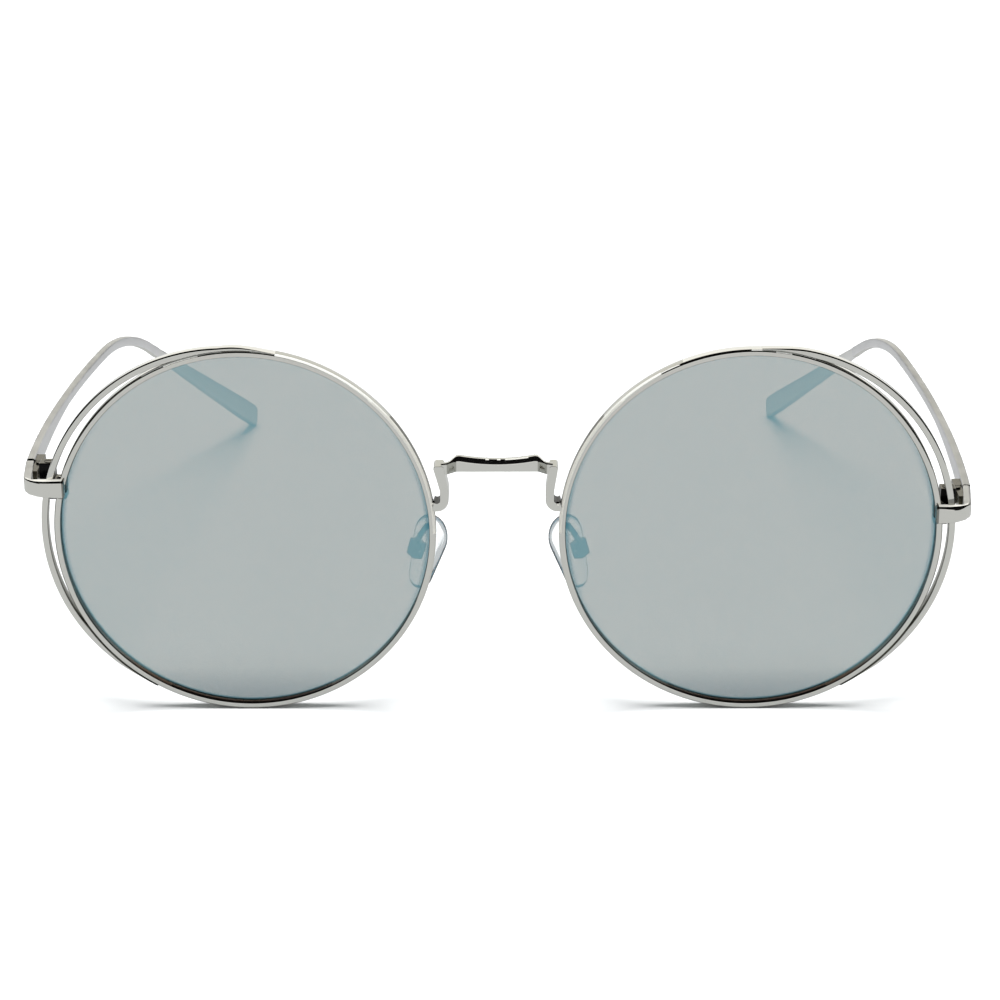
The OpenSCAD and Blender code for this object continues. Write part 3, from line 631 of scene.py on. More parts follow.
# Painted highlight: cream, on plate tops, bar glints, a solder dot and the rims' nose side
CREAM_HIGHLIGHT = metal("cream_painted_highlight", (0.70, 0.68, 0.62), 0.5, 0.04, 0.02, 0.0)
# Painted dark shade: on the hinges, their screws, the closing blocks' tops and the rims' nose side
DEEP_SHADE = metal("hinge_metal", (0.13, 0.12, 0.09), 0.22, 0.05, 0.05)
# Painted shade on the pad boxes and pad arms
SHADED_FITTING = metal("fitting_painted_shade", (0.20, 0.21, 0.22), 0.14, 0.03, 0.03)
SCREW = metal("screw_steel", (0.88, 0.87, 0.84), 0.12, 0.03, 0.03)
# Painted black shade: the lips, curls, seams, closing blocks and solder in the bridge's feet
BLACK_SHADE = metal("black_painted_shade", (0.012, 0.012, 0.012), 0.3, 0.04, 0.03)
# Painted highlight: the white band along the rims' outer edge
PALE_HIGHLIGHT = metal("pale_painted_highlight", (0.86, 0.85, 0.80), 0.5, 0.04, 0.02, 0.0)
SHADED = metal("shaded_silver", (0.30, 0.30, 0.28), 0.12, 0.03, 0.02)
# Painted dim shade: lip backs, the rims' back edges under their highlights, bridge leg tops, and the
# bar's flat top and steps
DIM_SHADE = metal("dim_painted_shade", (0.50, 0.50, 0.46), 0.10, 0.03, 0.02)
LENS = lens_material()
PAD = pad_material()


# Pieces and their finishes
def paint(obj, mat):
    obj.data.materials.clear()
    obj.data.materials.append(mat)
    return obj


def part(obj, mat, body, cad=None):
    """Gives a new piece its finish and body, and lets it stand for a CAD node."""
    paint(obj, mat)
    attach(obj, body)
    if cad:
        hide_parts(cad)
    return obj


def finish_faces(obj, choose):
    """Gives each face what choose returns for it, a finish, painted light or painted shade; None
    keeps the piece's own.
    """
    finishes = obj.data.materials
    for face in obj.data.polygons:
        finish = choose(face)
        if finish is None:
            continue
        if finishes.find(finish.name) < 0:
            finishes.append(finish)
        face.material_index = finishes.find(finish.name)


# Rims
def plate_z(name):
    """Height of the middle of a side's plate."""
    lo, hi = cad_box(name + "_endpiece")
    return max(hi.z - PLATE_H / 2, lo.z + HINGE_DROP + TEMPLE_HINGE_H / 2)


def split_angle(name, gap):
    """Angle of the rim's saw cut from its outer side; the gap is taken off its height."""
    return math.asin((plate_z(name) - PLATE_H / 2 - gap - RIM_R) / RIM_R)


def rim_section(r0, r1):
    """The rim's outline between two radii, as points of radius and y."""
    y0 = GROOVE_Y - GROOVE_W / 2
    y1 = GROOVE_Y + GROOVE_W / 2
    points = [
        (r1, 0), (r1, RIM_DEPTH), (r0, RIM_DEPTH),
        (r0, y1), (r0 + GROOVE_DEPTH, GROOVE_Y), (r0, y0), (r0, LIP_MIDDLE), (r0, 0),
    ]
    return rounded(points, [RIM_EDGE, BACK_EDGE, BACK_EDGE, 0, 0, 0, 0, RIM_INNER_EDGE])


def ring_piece(name, side, angles, radii, section):
    """A section carried round the lens centre; radii gives it both radii at an angle."""
    loops = []
    for a in angles:
        c = math.cos(a)
        s = math.sin(a)
        loop = [at(side * (LENS_X + r * c), y, RIM_R + r * s) for r, y in section(*radii(a))]
        loops.append(loop)
    return skin(name, loops)


def ring_place(face, side):
    """A face's place: towards the nose and up from the lens centre, and behind the front."""
    x, y, z = face.center / MM
    return LENS_X - side * x, z - RIM_R, y - FRONT_Y


def lip_shade(inward, rise, y):
    """Painted shade on the inside of the rim in front of the lens, where little light gets in: black
    near the bottom, grey elsewhere, dim on its rear half.
    """
    from_bottom = math.degrees(math.atan2(abs(inward), -rise))
    if y > LIP_MIDDLE:
        return DIM_SHADE
    return BLACK_SHADE if from_bottom < LIP_BLACK_SHADE else SHADED


def outer_light_and_shade(side, angle, tilt):
    """Painted highlights on stretches of the outer edge that face something bright, over painted dim
    shade on the back edge; on the nose side, painted dark shade on the side and a painted cream
    highlight on the rounding.
    """
    for first, last in LIT_STRETCHES[side]:
        if first < angle < last:
            reach = LIT_TILT_REACH * min((angle - first) / LIT_TAPER, (last - angle) / LIT_TAPER, 1)
            if abs(tilt - LIT_TILT) < reach:
                return PALE_HIGHLIGHT
            if UNDER_LIT_TILT < tilt < BACK_TILT and angle < UNDER_LIT_END:
                return DIM_SHADE
    first, last = NOSE_STRETCH
    if first < angle < last and tilt < BACK_TILT:
        return DEEP_SHADE
    if first < angle < last + LIT_TAPER and BACK_TILT < tilt < FRONT_TILT:
        return CREAM_HIGHLIGHT
    return None


# Painted highlights and shade for a face of the rim: its lip, then its outer edge
def rim_light_and_shade(face, side):
    inward, rise, y = ring_place(face, side)
    r = math.hypot(inward, rise)
    if r < RIM_R - RIM_W + LIP_TOLERANCE and y < GROOVE_Y - GROOVE_W / 2:
        return lip_shade(inward, rise, y)
    if r < RIM_R - OUTER_BAND:
        return None
    angle = math.degrees(math.atan2(rise, inward))
    tilt = math.degrees(math.asin(clamp(-face.normal.y, -1.0)))
    return outer_light_and_shade(side, angle, tilt)


def build_rim(name, side):
    end = split_angle(name, SPLIT_GAP) + 2 * math.pi
    rim = ring_piece(
        name + "_rim_ring", side, steps(split_angle(name, 0), end, RIM_STEPS),
        lambda a: (RIM_R - RIM_W, RIM_R), rim_section,
    )
    part(edges(rim, RING_HARD_ANGLE), POLISHED, "front", name + "_rim")
    finish_faces(rim, lambda face: rim_light_and_shade(face, side))


# Crescents of wire outside the rims
def wire_section(r0, r1):
    points = [(r1, 0), (r1, WIRE_DEPTH), (r0, WIRE_DEPTH), (r0, 0)]
    edge = min(WIRE_EDGE, EDGE_SHARE * (r1 - r0))
    return rounded(points, [edge, BACK_EDGE, BACK_EDGE, min(RIM_INNER_EDGE, edge)])


def wire_reach(a, r):
    """Distance of the wire's circle of radius r from the lens centre, in direction a."""
    dx = WIRE_SHIFT * math.cos(WIRE_SHIFT_ANGLE)
    dz = WIRE_SHIFT * math.sin(WIRE_SHIFT_ANGLE)
    across = dx * math.sin(a) - dz * math.cos(a)
    return dx * math.cos(a) + dz * math.sin(a) + math.sqrt(r * r - across * across)


def wire_radii(a, wire_end):
    """Inside and outside radius of the wire; it thins out smoothly before its end."""
    end, left_over, least = wire_end
    outer = max(wire_reach(a, WIRE_R), RIM_R + least)
    inner = max(RIM_R, wire_reach(a, WIRE_R - WIRE_W))
    t = min(abs(math.radians(end) - a) / WIRE_TAPER, 1.0)
    keep = between(left_over, 1, 3 * t * t - 2 * t ** 3)
    return inner, between(inner, outer, keep)


def wire_shade(face, side, foot_z):
    """Painted shade inside, where the wire faces the rim across a narrow gap, and below foot_z."""
    inward, rise, y = ring_place(face, side)
    outward = Vector((-side * inward, 0, rise)).normalized()
    if face.normal.dot(outward) < -WIRE_INWARD or rise + RIM_R < foot_z:
        return SHADED
    return None


def build_wire(name, side, level, angles, wire_end, foot_z=0.0):
    wire = ring_piece(
        name + "_wire_" + level, side, angles, lambda a: wire_radii(a, wire_end), wire_section,
    )
    part(edges(wire, RING_HARD_ANGLE), POLISHED, "front", name + "_outer_wire_" + level)
    finish_faces(wire, lambda face: wire_shade(face, side, foot_z))


def build_wires(name, side):
    """The upper and the lower wire; the right upper one has a foot painted with shade over its
    plate.
    """
    foot_z = 0.0
    if side == RIGHT:
        foot_z = plate_z(name) + PLATE_H / 2 + WIRE_SHADED_FOOT
    upper_end = UPPER_ENDS[side]
    upper = steps(split_angle(name, 0), math.radians(upper_end[0]), UPPER_STEPS)
    lower = steps(math.radians(LOWER_END[0]), split_angle(name, SPLIT_GAP), LOWER_STEPS)
    build_wire(name, side, "upper", upper, upper_end, foot_z)
    build_wire(name, side, "lower", lower, LOWER_END)


def build_rings(name, side):
    build_rim(name, side)
    build_wires(name, side)


# Endpieces
class Endpiece:
    """Plan and heights of a plate, its rounded corner and the side wall, in one sweep."""

    def __init__(self, name):
        lo, hi = cad_box(name + "_endpiece")
        self.in_x, self.out_x = cad_sides(name + "_endpiece")
        self.front_y = lo.y
        self.end_y = hi.y
        self.mid_z = plate_z(name)
        self.corner_y = self.front_y + CORNER_R
        self.corner_x = self.wall_x(self.corner_y) - CORNER_R / math.cos(WALL_SPLAY)

    def wall_x(self, y):
        """The wall's outer face in plan."""
        return self.out_x - (self.end_y - y) * math.tan(WALL_SPLAY)

    def inner_point(self, y):
        """A point of the wall's inner face in plan."""
        return self.wall_x(y) - WALL_T / math.cos(WALL_SPLAY), y

    def heights(self, x, y):
        """Upper and lower height at an outer point: along the plate by x, then by y."""
        share = (x - self.in_x) / (self.out_x - self.in_x) if y <= PLATE_LET_IN else 1
        top = PLATE_H / 2 + PLATE_OVER - PLATE_FALL * share
        low = PLATE_RISE * share - PLATE_H / 2
        if y > PLATE_LET_IN:
            along = (y - PLATE_LET_IN) / (self.end_y - PLATE_LET_IN)
            top = between(top, TEMPLE_HINGE_H / 2 - HINGE_DROP, along)
            low = between(low, -TEMPLE_HINGE_H / 2 - HINGE_DROP, along)
        return self.mid_z + top, self.mid_z + low

    def plate(self):
        for x in steps(self.in_x, self.corner_x, PLATE_STEPS):
            yield (x, self.front_y), (x, PLATE_LET_IN), *self.heights(x, self.front_y)

    def corner(self):
        inner_x = self.inner_point(PLATE_LET_IN)[0]
        quarter = math.pi / 2
        for a in steps(-quarter, -WALL_SPLAY, CORNER_STEPS)[1:]:
            x = self.corner_x + CORNER_R * math.cos(a)
            y = self.corner_y + CORNER_R * math.sin(a)
            share = min((a + quarter) / (quarter / 2), 1.0)
            inner = (between(self.corner_x, inner_x, share), PLATE_LET_IN)
            yield (x, y), inner, *self.heights(x, y)

    def wall(self):
        first = self.corner_y - CORNER_R * math.sin(WALL_SPLAY)
        for y in steps(first, self.end_y, WALL_STEPS)[1:]:
            x = self.wall_x(y)
            inner_y = between(PLATE_LET_IN, self.end_y, (y - first) / (self.end_y - first))
            yield (x, y), self.inner_point(inner_y), *self.heights(x, y)

    def stations(self):
        """Outer and inner plan point, upper and lower height of each section."""
        return [*self.plate(), *self.corner(), *self.wall()]


def upright_section(outer, inner, top, low, radii, shrink=0.0):
    """A rounded section standing on the plan line from outer to inner."""
    start = Vector(outer)
    along = Vector(inner) - start
    u0 = shrink
    u1 = along.length - shrink
    top -= shrink
    low += shrink
    made = []
    for u, z in rounded([(u0, top), (u1, top), (u1, low), (u0, low)], radii, UPRIGHT_EDGE_STEPS):
        p = start + along.normalized() * u
        made.append((p.x, p.y, z))
    return made


def endpiece_loops(stations, corner_edge):
    """The sections in order; the front top edge changes its rounding towards the corner."""
    radii = list(PLATE_EDGES)
    first_edge = radii[0]
    (outer_x, outer_y), (inner_x, inner_y), top, low = stations[0]
    loops = []
    for inset, shrink in PLATE_END:
        outer = (outer_x + inset, outer_y)
        inner = (inner_x + inset, inner_y)
        loops.append(upright_section(outer, inner, top, low, radii, shrink))
    for i, (outer, inner, top, low) in enumerate(stations[1:]):
        share = clamp((i - CORNER_EDGE_START) / CORNER_EDGE_RUN)
        radii[0] = between(first_edge, corner_edge, share * share)
        loops.append(upright_section(outer, inner, top, low, radii))
    return loops


def endpiece_finish_and_light(face, in_x):
    """Painted shade on the inner end, a brushed side wall, and a painted highlight on the plate's
    top.
    """
    x, y, z = face.center / MM
    if abs(x) < in_x + PLATE_END_SHADE:
        return SHADED
    if y - FRONT_Y > WALL_START_Y:
        return SATIN
    return CREAM_HIGHLIGHT if face.normal.z > LEVEL_UP else None


def build_endpiece(name, side):
    piece = Endpiece(name)
    loops = endpiece_loops(piece.stations(), CORNER_EDGE[side])
    shell = skin(
        name + "_endpiece_shell", [[at(side * x, y, z) for x, y, z in loop] for loop in loops],
    )
    part(edges(shell), POLISHED, "front", name + "_endpiece")
    finish_faces(shell, lambda face: endpiece_finish_and_light(face, piece.in_x))


# Temples and their tips
class Arm:
    """The temple's route: side view along the hinge's pitch, plan view on its bow."""

    def __init__(self, name, side):
        lo, hi = cad_box(name + "_hinge_screw")
        self.side = side
        self.straight = STRAIGHT[side]
        self.leg_start = self.straight + BEND_R * BEND
        self.hinge_y = (lo.y + hi.y) / 2
        self.hinge_z = plate_z(name) - HINGE_DROP
        self.temple_x = cad_sides(name + "_endpiece")[1] - TEMPLE_T / 2
        self.bow_r = BOW_R[side]
        self.bow_x = self.temple_x - self.bow_r * math.cos(TOE_OUT)
        self.bow_y = self.hinge_y + self.bow_r * math.sin(TOE_OUT)
        corner = self.leg_point(LEG - TIP_LOWER_R, TIP_LOWER_R - TIP_H / 2)
        self.pitch = math.asin((TIP_LOWER_R - self.hinge_z) / corner.length)
        self.pitch -= math.atan2(corner.y, corner.x)
        self.seam_y = self.place(self.leg_point(TIP_SEAM, 0))[0]
        self.heading = math.asin((self.seam_y - self.bow_y) / self.bow_r)

    def leg_point(self, along, up):
        """Side view point of the leg behind the bend."""
        c = math.cos(BEND)
        s = math.sin(BEND)
        start = self.straight + BEND_R * s
        return Vector((start + along * c + up * s, BEND_R * (c - 1) - along * s + up * c))

    def point(self, d, up):
        """Side view point at distance d behind the hinge along the middle line."""
        if d <= self.straight:
            return Vector((d, up))
        if d <= self.leg_start:
            a = (d - self.straight) / BEND_R
            r = BEND_R + up
            return Vector((self.straight + r * math.sin(a), r * math.cos(a) - BEND_R))
        return self.leg_point(d - self.leg_start, up)

    def place(self, p):
        """Depth and height of a side view point, turned by the pitch."""
        c = math.cos(self.pitch)
        s = math.sin(self.pitch)
        return self.hinge_y + p.x * c - p.y * s, self.hinge_z + p.x * s + p.y * c

    def scene_point(self, d, up, out):
        """The scene's point: up in the side view, out from the middle of the strip."""
        y, z = self.place(self.point(d, up))
        if y < self.seam_y:
            turn = math.asin((y - self.bow_y) / self.bow_r)
            x = self.bow_x + self.bow_r * math.cos(turn)
        else:
            turn = self.heading
            x = self.bow_x + self.bow_r * math.cos(turn) - (y - self.seam_y) * math.tan(turn)
        return at(self.side * (x + out * math.cos(turn)), y + out * math.sin(turn), z)

    def loop(self, d, section):
        return [self.scene_point(d, up, out) for out, up in section]


def leg_height(d):
    """Height of the strip and of its sleeve at distance d behind the bend."""
    return between(TEMPLE_SLIM_H, TIP_H, clamp(d / (LEG - TIP_EVEN)))


def flat_section(width, top, low, r):
    points = [(width / 2, top), (-width / 2, top), (-width / 2, low), (width / 2, low)]
    return rounded(points, [r] * 4)


def temple_section(d, leg_start):
    """Section of the strip at distance d behind the hinge."""
    taper = clamp(d / TEMPLE_TAPER)
    height = between(TEMPLE_HINGE_H, TEMPLE_SLIM_H, taper)
    if d > leg_start:
        height = leg_height(d - leg_start)
    return flat_section(TEMPLE_T, height / 2, -height / 2 - SKIRT * (1 - taper), TEMPLE_EDGE)


def temple_light_and_shade(face, side):
    """Painted light on the inner side, and painted black shade on the front end at the seam."""
    if face.normal.x * side < -STRIP_INWARD:
        return SATIN_LIT_SIDE
    return BLACK_SHADE if face.normal.y < -STRIP_FORWARD else None


def build_temple(name, side, arm):
    places = steps(SEAM[side], TEMPLE_TAPER, TAPER_STEPS)
    places += steps(TEMPLE_TAPER, arm.leg_start + TIP_SEAM, TEMPLE_STEPS)[1:]
    loops = [arm.loop(d, temple_section(d, arm.leg_start)) for d in places]
    strip = skin(name + "_temple_strip", loops)
    part(edges(strip), SATIN, name + "_arm", name + "_temple")
    finish_faces(strip, lambda face: temple_light_and_shade(face, side))


def tip_top(d):
    """Height of the sleeve's upper edge: even, then round, then along the slanted end."""
    top_x = LEG - TIP_SLANT - TIP_UPPER_R
    if d <= top_x:
        return leg_height(d) / 2
    if d <= top_x + TIP_UPPER_R:
        return TIP_H / 2 - TIP_UPPER_R + math.sqrt(max(TIP_UPPER_R ** 2 - (d - top_x) ** 2, 0))
    share = (LEG - d) / TIP_SLANT
    return between(TIP_LOWER_R - TIP_H / 2, TIP_H / 2 - TIP_UPPER_R, share)


def tip_low(d):
    """Height of the sleeve's lower edge: even, then round."""
    low_x = LEG - TIP_LOWER_R
    if d <= low_x:
        return -leg_height(d) / 2
    return TIP_LOWER_R - TIP_H / 2 - math.sqrt(max(TIP_LOWER_R ** 2 - (d - low_x) ** 2, 0))


def tip_section(d):
    """Section of the sleeve at distance d behind the bend; the first one is drawn in."""
    near = max(0.0, (d - LEG + TIP_THIN_RUN) / TIP_THIN_RUN)
    width = between(TEMPLE_T, TIP_T, clamp(d / (LEG - TIP_EVEN)))
    width *= math.sqrt(1 - TIP_THINNING * near * near)
    top = tip_top(d)
    low = tip_low(d)
    edge = min(TIP_EDGE, width * EDGE_SHARE, (top - low) * EDGE_SHARE)
    inset = SEAM_INSET if d == TIP_SEAM else 0.0
    return flat_section(width - 2 * inset, top - inset, low + inset, edge)


def build_tip(name, arm):
    full = LEG - TIP_EVEN
    round_start = LEG - TIP_SLANT - TIP_UPPER_R
    places = steps(TIP_SEAM, full, TIP_STEPS)
    places += steps(full, round_start, TIP_EVEN_STEPS)[1:]
    places += steps(round_start, LEG - TIP_CLOSE, TIP_END_STEPS)[1:]
    sleeve = skin(
        name + "_tip_sleeve", [arm.loop(arm.leg_start + d, tip_section(d)) for d in places],
    )
    part(edges(sleeve), SATIN_TIP, name + "_arm", name + "_temple_tip")


def build_arm(name, side):
    arm = Arm(name, side)
    build_temple(name, side, arm)
    build_tip(name, arm)


# Bridge: two legs with curled feet and a bar between them
def foot_x():
    """Outer side of the legs' upright part, a gap away from the rims."""
    return LENS_X - math.sqrt(RIM_R ** 2 - CURL_Z ** 2) - FOOT_GAP


def bridge_leg_outline(side):
    """The left leg leans out a little more and is a little wider at its top."""
    outer_x = foot_x()
    curl_x = outer_x + CURL_R
    top_x = outer_x + LEG_SPLAY[side]
    back_x = top_x - LEG_TOP_W[side]
    below = TOP_Z - LEG_CORNER_RUN
    corner = rounded([(top_x, below), (top_x, TOP_Z), (back_x, TOP_Z), (back_x, below)], LEG_CORNERS)
    outline = [tuple(p) for p in corner[1:-1]]
    outline.append((outer_x - LEG_W, CURL_Z + UPRIGHT))
    outer_r = CURL_R + LEG_W
    outline += arc(curl_x, CURL_Z, outer_r, -math.pi, -CURL_OUTER_END, CURL_OUTER_STEPS)
    outline += arc(curl_x, CURL_Z, CURL_R, -CURL_INNER_END, -math.pi, CURL_INNER_STEPS)
    outline.append((outer_x, CURL_Z + UPRIGHT))
    return outline


def leg_shade(face):
    """Painted black shade in the curl, painted dim shade on the top."""
    z = face.center.z / MM
    in_curl = z < RIM_R + CURL_Z + CURL_SHADE_RISE and face.normal.z > -CURL_DOWN
    if in_curl and face.normal.y > -CURL_FORWARD:
        return BLACK_SHADE
    return DIM_SHADE if face.normal.z > FACES_UP else None


def build_bridge_leg(name, side):
    outline = [(x, RIM_R + z) for x, z in bridge_leg_outline(side)]
    leg = extrude_outline("bridge_leg_" + name, outline, LEG_FRONT, BRIDGE_DEPTH, side)
    bevel(leg, LEG_BEVEL)
    part(edges(leg), POLISHED, "front", "bridge")
    finish_faces(leg, leg_shade)


def bar_top(x):
    """Height of the bar's upper edge: hollow between the humps, falling from them outwards."""
    dip = HUMP_H - MID_H
    r = (HUMP_X ** 2 + dip ** 2) / (2 * dip)
    if abs(x) <= HUMP_X:
        return UNDER_Z + MID_H + r - math.sqrt(r * r - x * x)
    share = (abs(x) - HUMP_X) / (foot_x() - HUMP_END - HUMP_X)
    return between(UNDER_Z + HUMP_H, TOP_Z, min(share, HUMP_FALL_LIMIT))


def bar_loop(x):
    """The bar's section at x: crowned in front, its flat top sloping down to the back."""
    forward = (SETBACK_X + STEP - abs(x)) / STEP
    edge = BAR_EDGE * clamp(forward, BAR_LEAST_EDGE)
    dip = BAR_LOWER + BAR_DIP * max(1 - (x / HUMP_X) ** 2, 0)
    top = RIM_R + bar_top(x) - dip + BAR_LIFT * (BAR_EDGE - edge)
    low = RIM_R + UNDER_Z
    flat_y = edge + BAR_FLAT
    outline = arc(edge, top, edge, math.pi, math.pi / 2, QUARTER_STEPS)
    outline.append((flat_y, top + edge))
    outline.append((BAR_DEPTH, top + edge - BAR_SLOPE * (BAR_DEPTH - flat_y)))
    outline.append((BAR_DEPTH, low + BAR_CHAMFER))
    outline.append((BAR_DEPTH - BAR_CHAMFER, low))
    outline.append((BAR_CHAMFER, low))
    outline.append((0, low + BAR_CHAMFER))
    front = BAR_FRONT + SETBACK * clamp(forward)
    return [at(x, front + y, z) for y, z in outline]


def bar_light_and_shade(face):
    """Painted dim shade on the flat top and the steps, and painted highlights along the front edge.
    """
    x = face.center.x / MM
    normal = face.normal
    if normal.z > LEVEL_UP and abs(normal.y) < LEVEL_LEAN:
        return DIM_SHADE
    if normal.z > GLINT_UP and normal.y < 0 and any(a < x < b for a, b in BAR_GLINTS):
        return CREAM_HIGHLIGHT
    if normal.y < -STEP_FORWARD and SETBACK_X < abs(x) < SETBACK_X + STEP:
        return DIM_SHADE
    return None


def build_bridge_bar():
    reach = max(abs(x) for x, z in bridge_leg_outline(RIGHT) if z > UNDER_Z) - BAR_END_BACK
    bar = skin("bridge_bar", [bar_loop(x) for x in steps(-reach, reach, BAR_STEPS)])
    part(edges(bar), POLISHED, "front", "bridge")
    finish_faces(bar, bar_light_and_shade)


# Nose pads: smooth drops with a lug in the box
def pad_at(side, x, y, z):
    """A point of the pad's own frame: x along its screw, y to the nose, z up the pad."""
    across = x * math.cos(PAD_TURN) - y * math.sin(PAD_TURN)
    behind = x * math.sin(PAD_TURN) + y * math.cos(PAD_TURN)
    return at(
        side * (PAD_X + across * math.cos(PAD_LEAN) - z * math.sin(PAD_LEAN)),
        PAD_Y + behind,
        RIM_R - PAD_DROP + across * math.sin(PAD_LEAN) + z * math.cos(PAD_LEAN),
    )


def drop_outline(inset):
    """Outline round two circles, a wide one above a narrow one."""
    top_z = PAD_LEN / 2 - PAD_HANG - PAD_TOP_R
    low_z = PAD_LOW_R - PAD_LEN / 2 - PAD_HANG
    lean = math.asin((PAD_TOP_R - PAD_LOW_R) / (top_z - low_z))
    outline = arc(0, top_z, PAD_TOP_R - inset, -lean, math.pi + lean, DROP_STEPS)
    end = 2 * math.pi - lean
    outline += arc(0, low_z, PAD_LOW_R - inset, math.pi + lean, end, DROP_STEPS)
    return outline


def build_pad_drop(name, side, back):
    """The pad itself, with a flat back and a domed front."""
    layers = list(PAD_BACK_LAYERS)
    for a in steps(0, math.pi / 2, QUARTER_STEPS):
        y = DOME_START + (PAD_T - DOME_START) * math.sin(a)
        layers.append((DOME_INSET * (1 - math.cos(a)), y))
    loops = []
    for inset, y in layers:
        loops.append([pad_at(side, x, back + y, z) for x, z in drop_outline(inset)])
    drop = skin(name + "_nose_pad_drop", loops)
    part(edges(drop, PAD_HARD_ANGLE), PAD, name + "_pad", name + "_nose_pad")


def build_pad_lug(name, side, back):
    """A round eye on the screw with a neck that runs into the pad."""
    outline = arc(0, 0, LUG_R, math.pi / 2, 3 * math.pi / 2, LUG_STEPS)
    outline.append((back + LUG_INTO_PAD, -NECK_H / 2))
    outline.append((back + LUG_INTO_PAD, NECK_H / 2))
    ends = [[pad_at(side, x, y, z) for y, z in outline] for x in (-LUG_W / 2, LUG_W / 2)]
    lug = skin(name + "_nose_pad_lug", ends)
    part(edges(lug), PAD, name + "_pad", name + "_nose_pad")


def build_pad(name, side):
    back = BOX_D / 2 + PAD_GAP
    build_pad_drop(name, side, back)
    build_pad_lug(name, side, back)


# Solder where the parts were joined
def blob(name, centre, size, mat):
    """A solder dot: centre in millimetres, half sizes along X, Y and Z."""
    loops = []
    for a in steps(0, math.pi, BLOB_ROWS):
        loop = []
        for b in steps(0, 2 * math.pi, BLOB_TURNS)[:-1]:
            x = centre[0] + size[0] * math.sin(a) * math.cos(b)
            y = centre[1] + size[1] * math.sin(a) * math.sin(b)
            loop.append(at(x, y, centre[2] + size[2] * math.cos(a)))
        loops.append(loop)
    return part(skin(name, loops), mat, "front", None)


def build_solder(name, side):
    """Solder in the bridge's foot painted black as shade, a painted highlight dot on it, and solder
    where plate and rim meet.
    """
    x, y, z = FOOT_SOLDER[side]
    x = side * (LENS_X - RIM_R + x)
    z += RIM_R + CURL_Z
    blob("solder_bridge_" + name, (x, y, z), FOOT_SOLDER_SIZE, BLACK_SHADE)
    blob("solder_highlight_dot_" + name, (x, y - DOT_FORWARD, z), DOT_SIZE, CREAM_HIGHLIGHT)
    top = plate_z(name) + PLATE_H / 2
    rim_x = LENS_X + math.sqrt(RIM_R ** 2 - (top - RIM_R) ** 2)
    x = side * (rim_x + PLATE_SOLDER_SHIFT)
    z = top - PLATE_SOLDER_SHIFT
    blob("solder_plate_" + name, (x, PLATE_SOLDER_Y, z), PLATE_SOLDER_SIZE, POLISHED)


# Blocks that close the rims: a low foot behind the rim, the tall part outside it
def lock_shade(face):
    """Painted black shade only in front, where the plate shades it; painted dark shade on the top
    and painted shade on the back.
    """
    if face.normal.z > FACES_UP:
        return DEEP_SHADE
    return SHADED if face.normal.y > LOCK_BACKWARD else None


def build_lock_block(name, side, outline, cad):
    lo, hi = cad_box(cad)
    block = extrude_outline(name, outline, lo.y, hi.y, side)
    bevel(block, LOCK_BEVEL)
    part(edges(block), BLACK_SHADE, "front", cad)
    finish_faces(block, lock_shade)


def build_upper_lock(name, side):
    cad = name + "_rim_lock_upper"
    lo, hi = cad_box(cad)
    near_x, out_x = cad_sides(cad)
    in_x = near_x + LOCK_IN
    tall_x = out_x - LOCK_TALL
    foot_z = lo.z + LOCK_FOOT_H
    top_z = hi.z - LOCK_TOP_GAP
    outline = [
        (in_x, lo.z), (out_x, lo.z), (out_x, top_z),
        (tall_x, top_z), (tall_x, foot_z), (in_x, foot_z),
    ]
    build_lock_block(name + "_lock_block", side, outline, cad)


def build_lower_lock(name, side):
    cad = name + "_rim_lock_lower"
    lo, hi = cad_box(cad)
    near_x, out_x = cad_sides(cad)
    in_x = near_x + LOCK_IN
    foot_x = out_x - LOCK_LOWER_SHORT
    outline = [(in_x, lo.z), (foot_x, lo.z), (foot_x, hi.z), (in_x, hi.z)]
    build_lock_block(name + "_lock_foot", side, outline, cad)


def build_locks(name, side):
    build_upper_lock(name, side)
    build_lower_lock(name, side)


def on_both_sides(build):
    for name, side in SIDES:
        build(name, side)


on_both_sides(build_rings)
on_both_sides(build_endpiece)
on_both_sides(build_locks)
on_both_sides(build_arm)
on_both_sides(build_bridge_leg)
build_bridge_bar()
on_both_sides(build_pad)
on_both_sides(build_solder)


# The CAD nodes that stay: a word of their names, the finish and the width of their bevels; hinge,
# hinge screw, pad box and pad arm take painted shade
KEPT_NODES = (
    ("lens", LENS, 0.0),
    ("pad_screw", SCREW, 0.04),
    ("screw", DEEP_SHADE, 0.04),
    ("hinge", DEEP_SHADE, 0.08),
    ("pad_box", SHADED_FITTING, 0.12),
    ("pad_arm", SHADED_FITTING, 0.0),
)


def finish_cad(obj, mat, width):
    """Keeps a CAD node: its finish, fine bevels and shading edges."""
    paint(obj, mat)
    for face in obj.data.polygons:
        face.use_smooth = True
    if width:
        bevel(obj, width, 2, CAD_HARD_ANGLE)
    edges(obj, CAD_HARD_ANGLE)


def finish_kept_nodes():
    for name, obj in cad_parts.items():
        if obj.hide_render:
            continue
        mat, width = next(row[1:] for row in KEPT_NODES if row[0] in name)
        finish_cad(obj, mat, width)


finish_kept_nodes()


# Floor, light and surroundings
FLOOR_HALF = 3
FLOOR_SEEN = (0.96, 0.96, 0.96)
FLOOR_MIRRORED = (0.400, 0.400, 0.392)


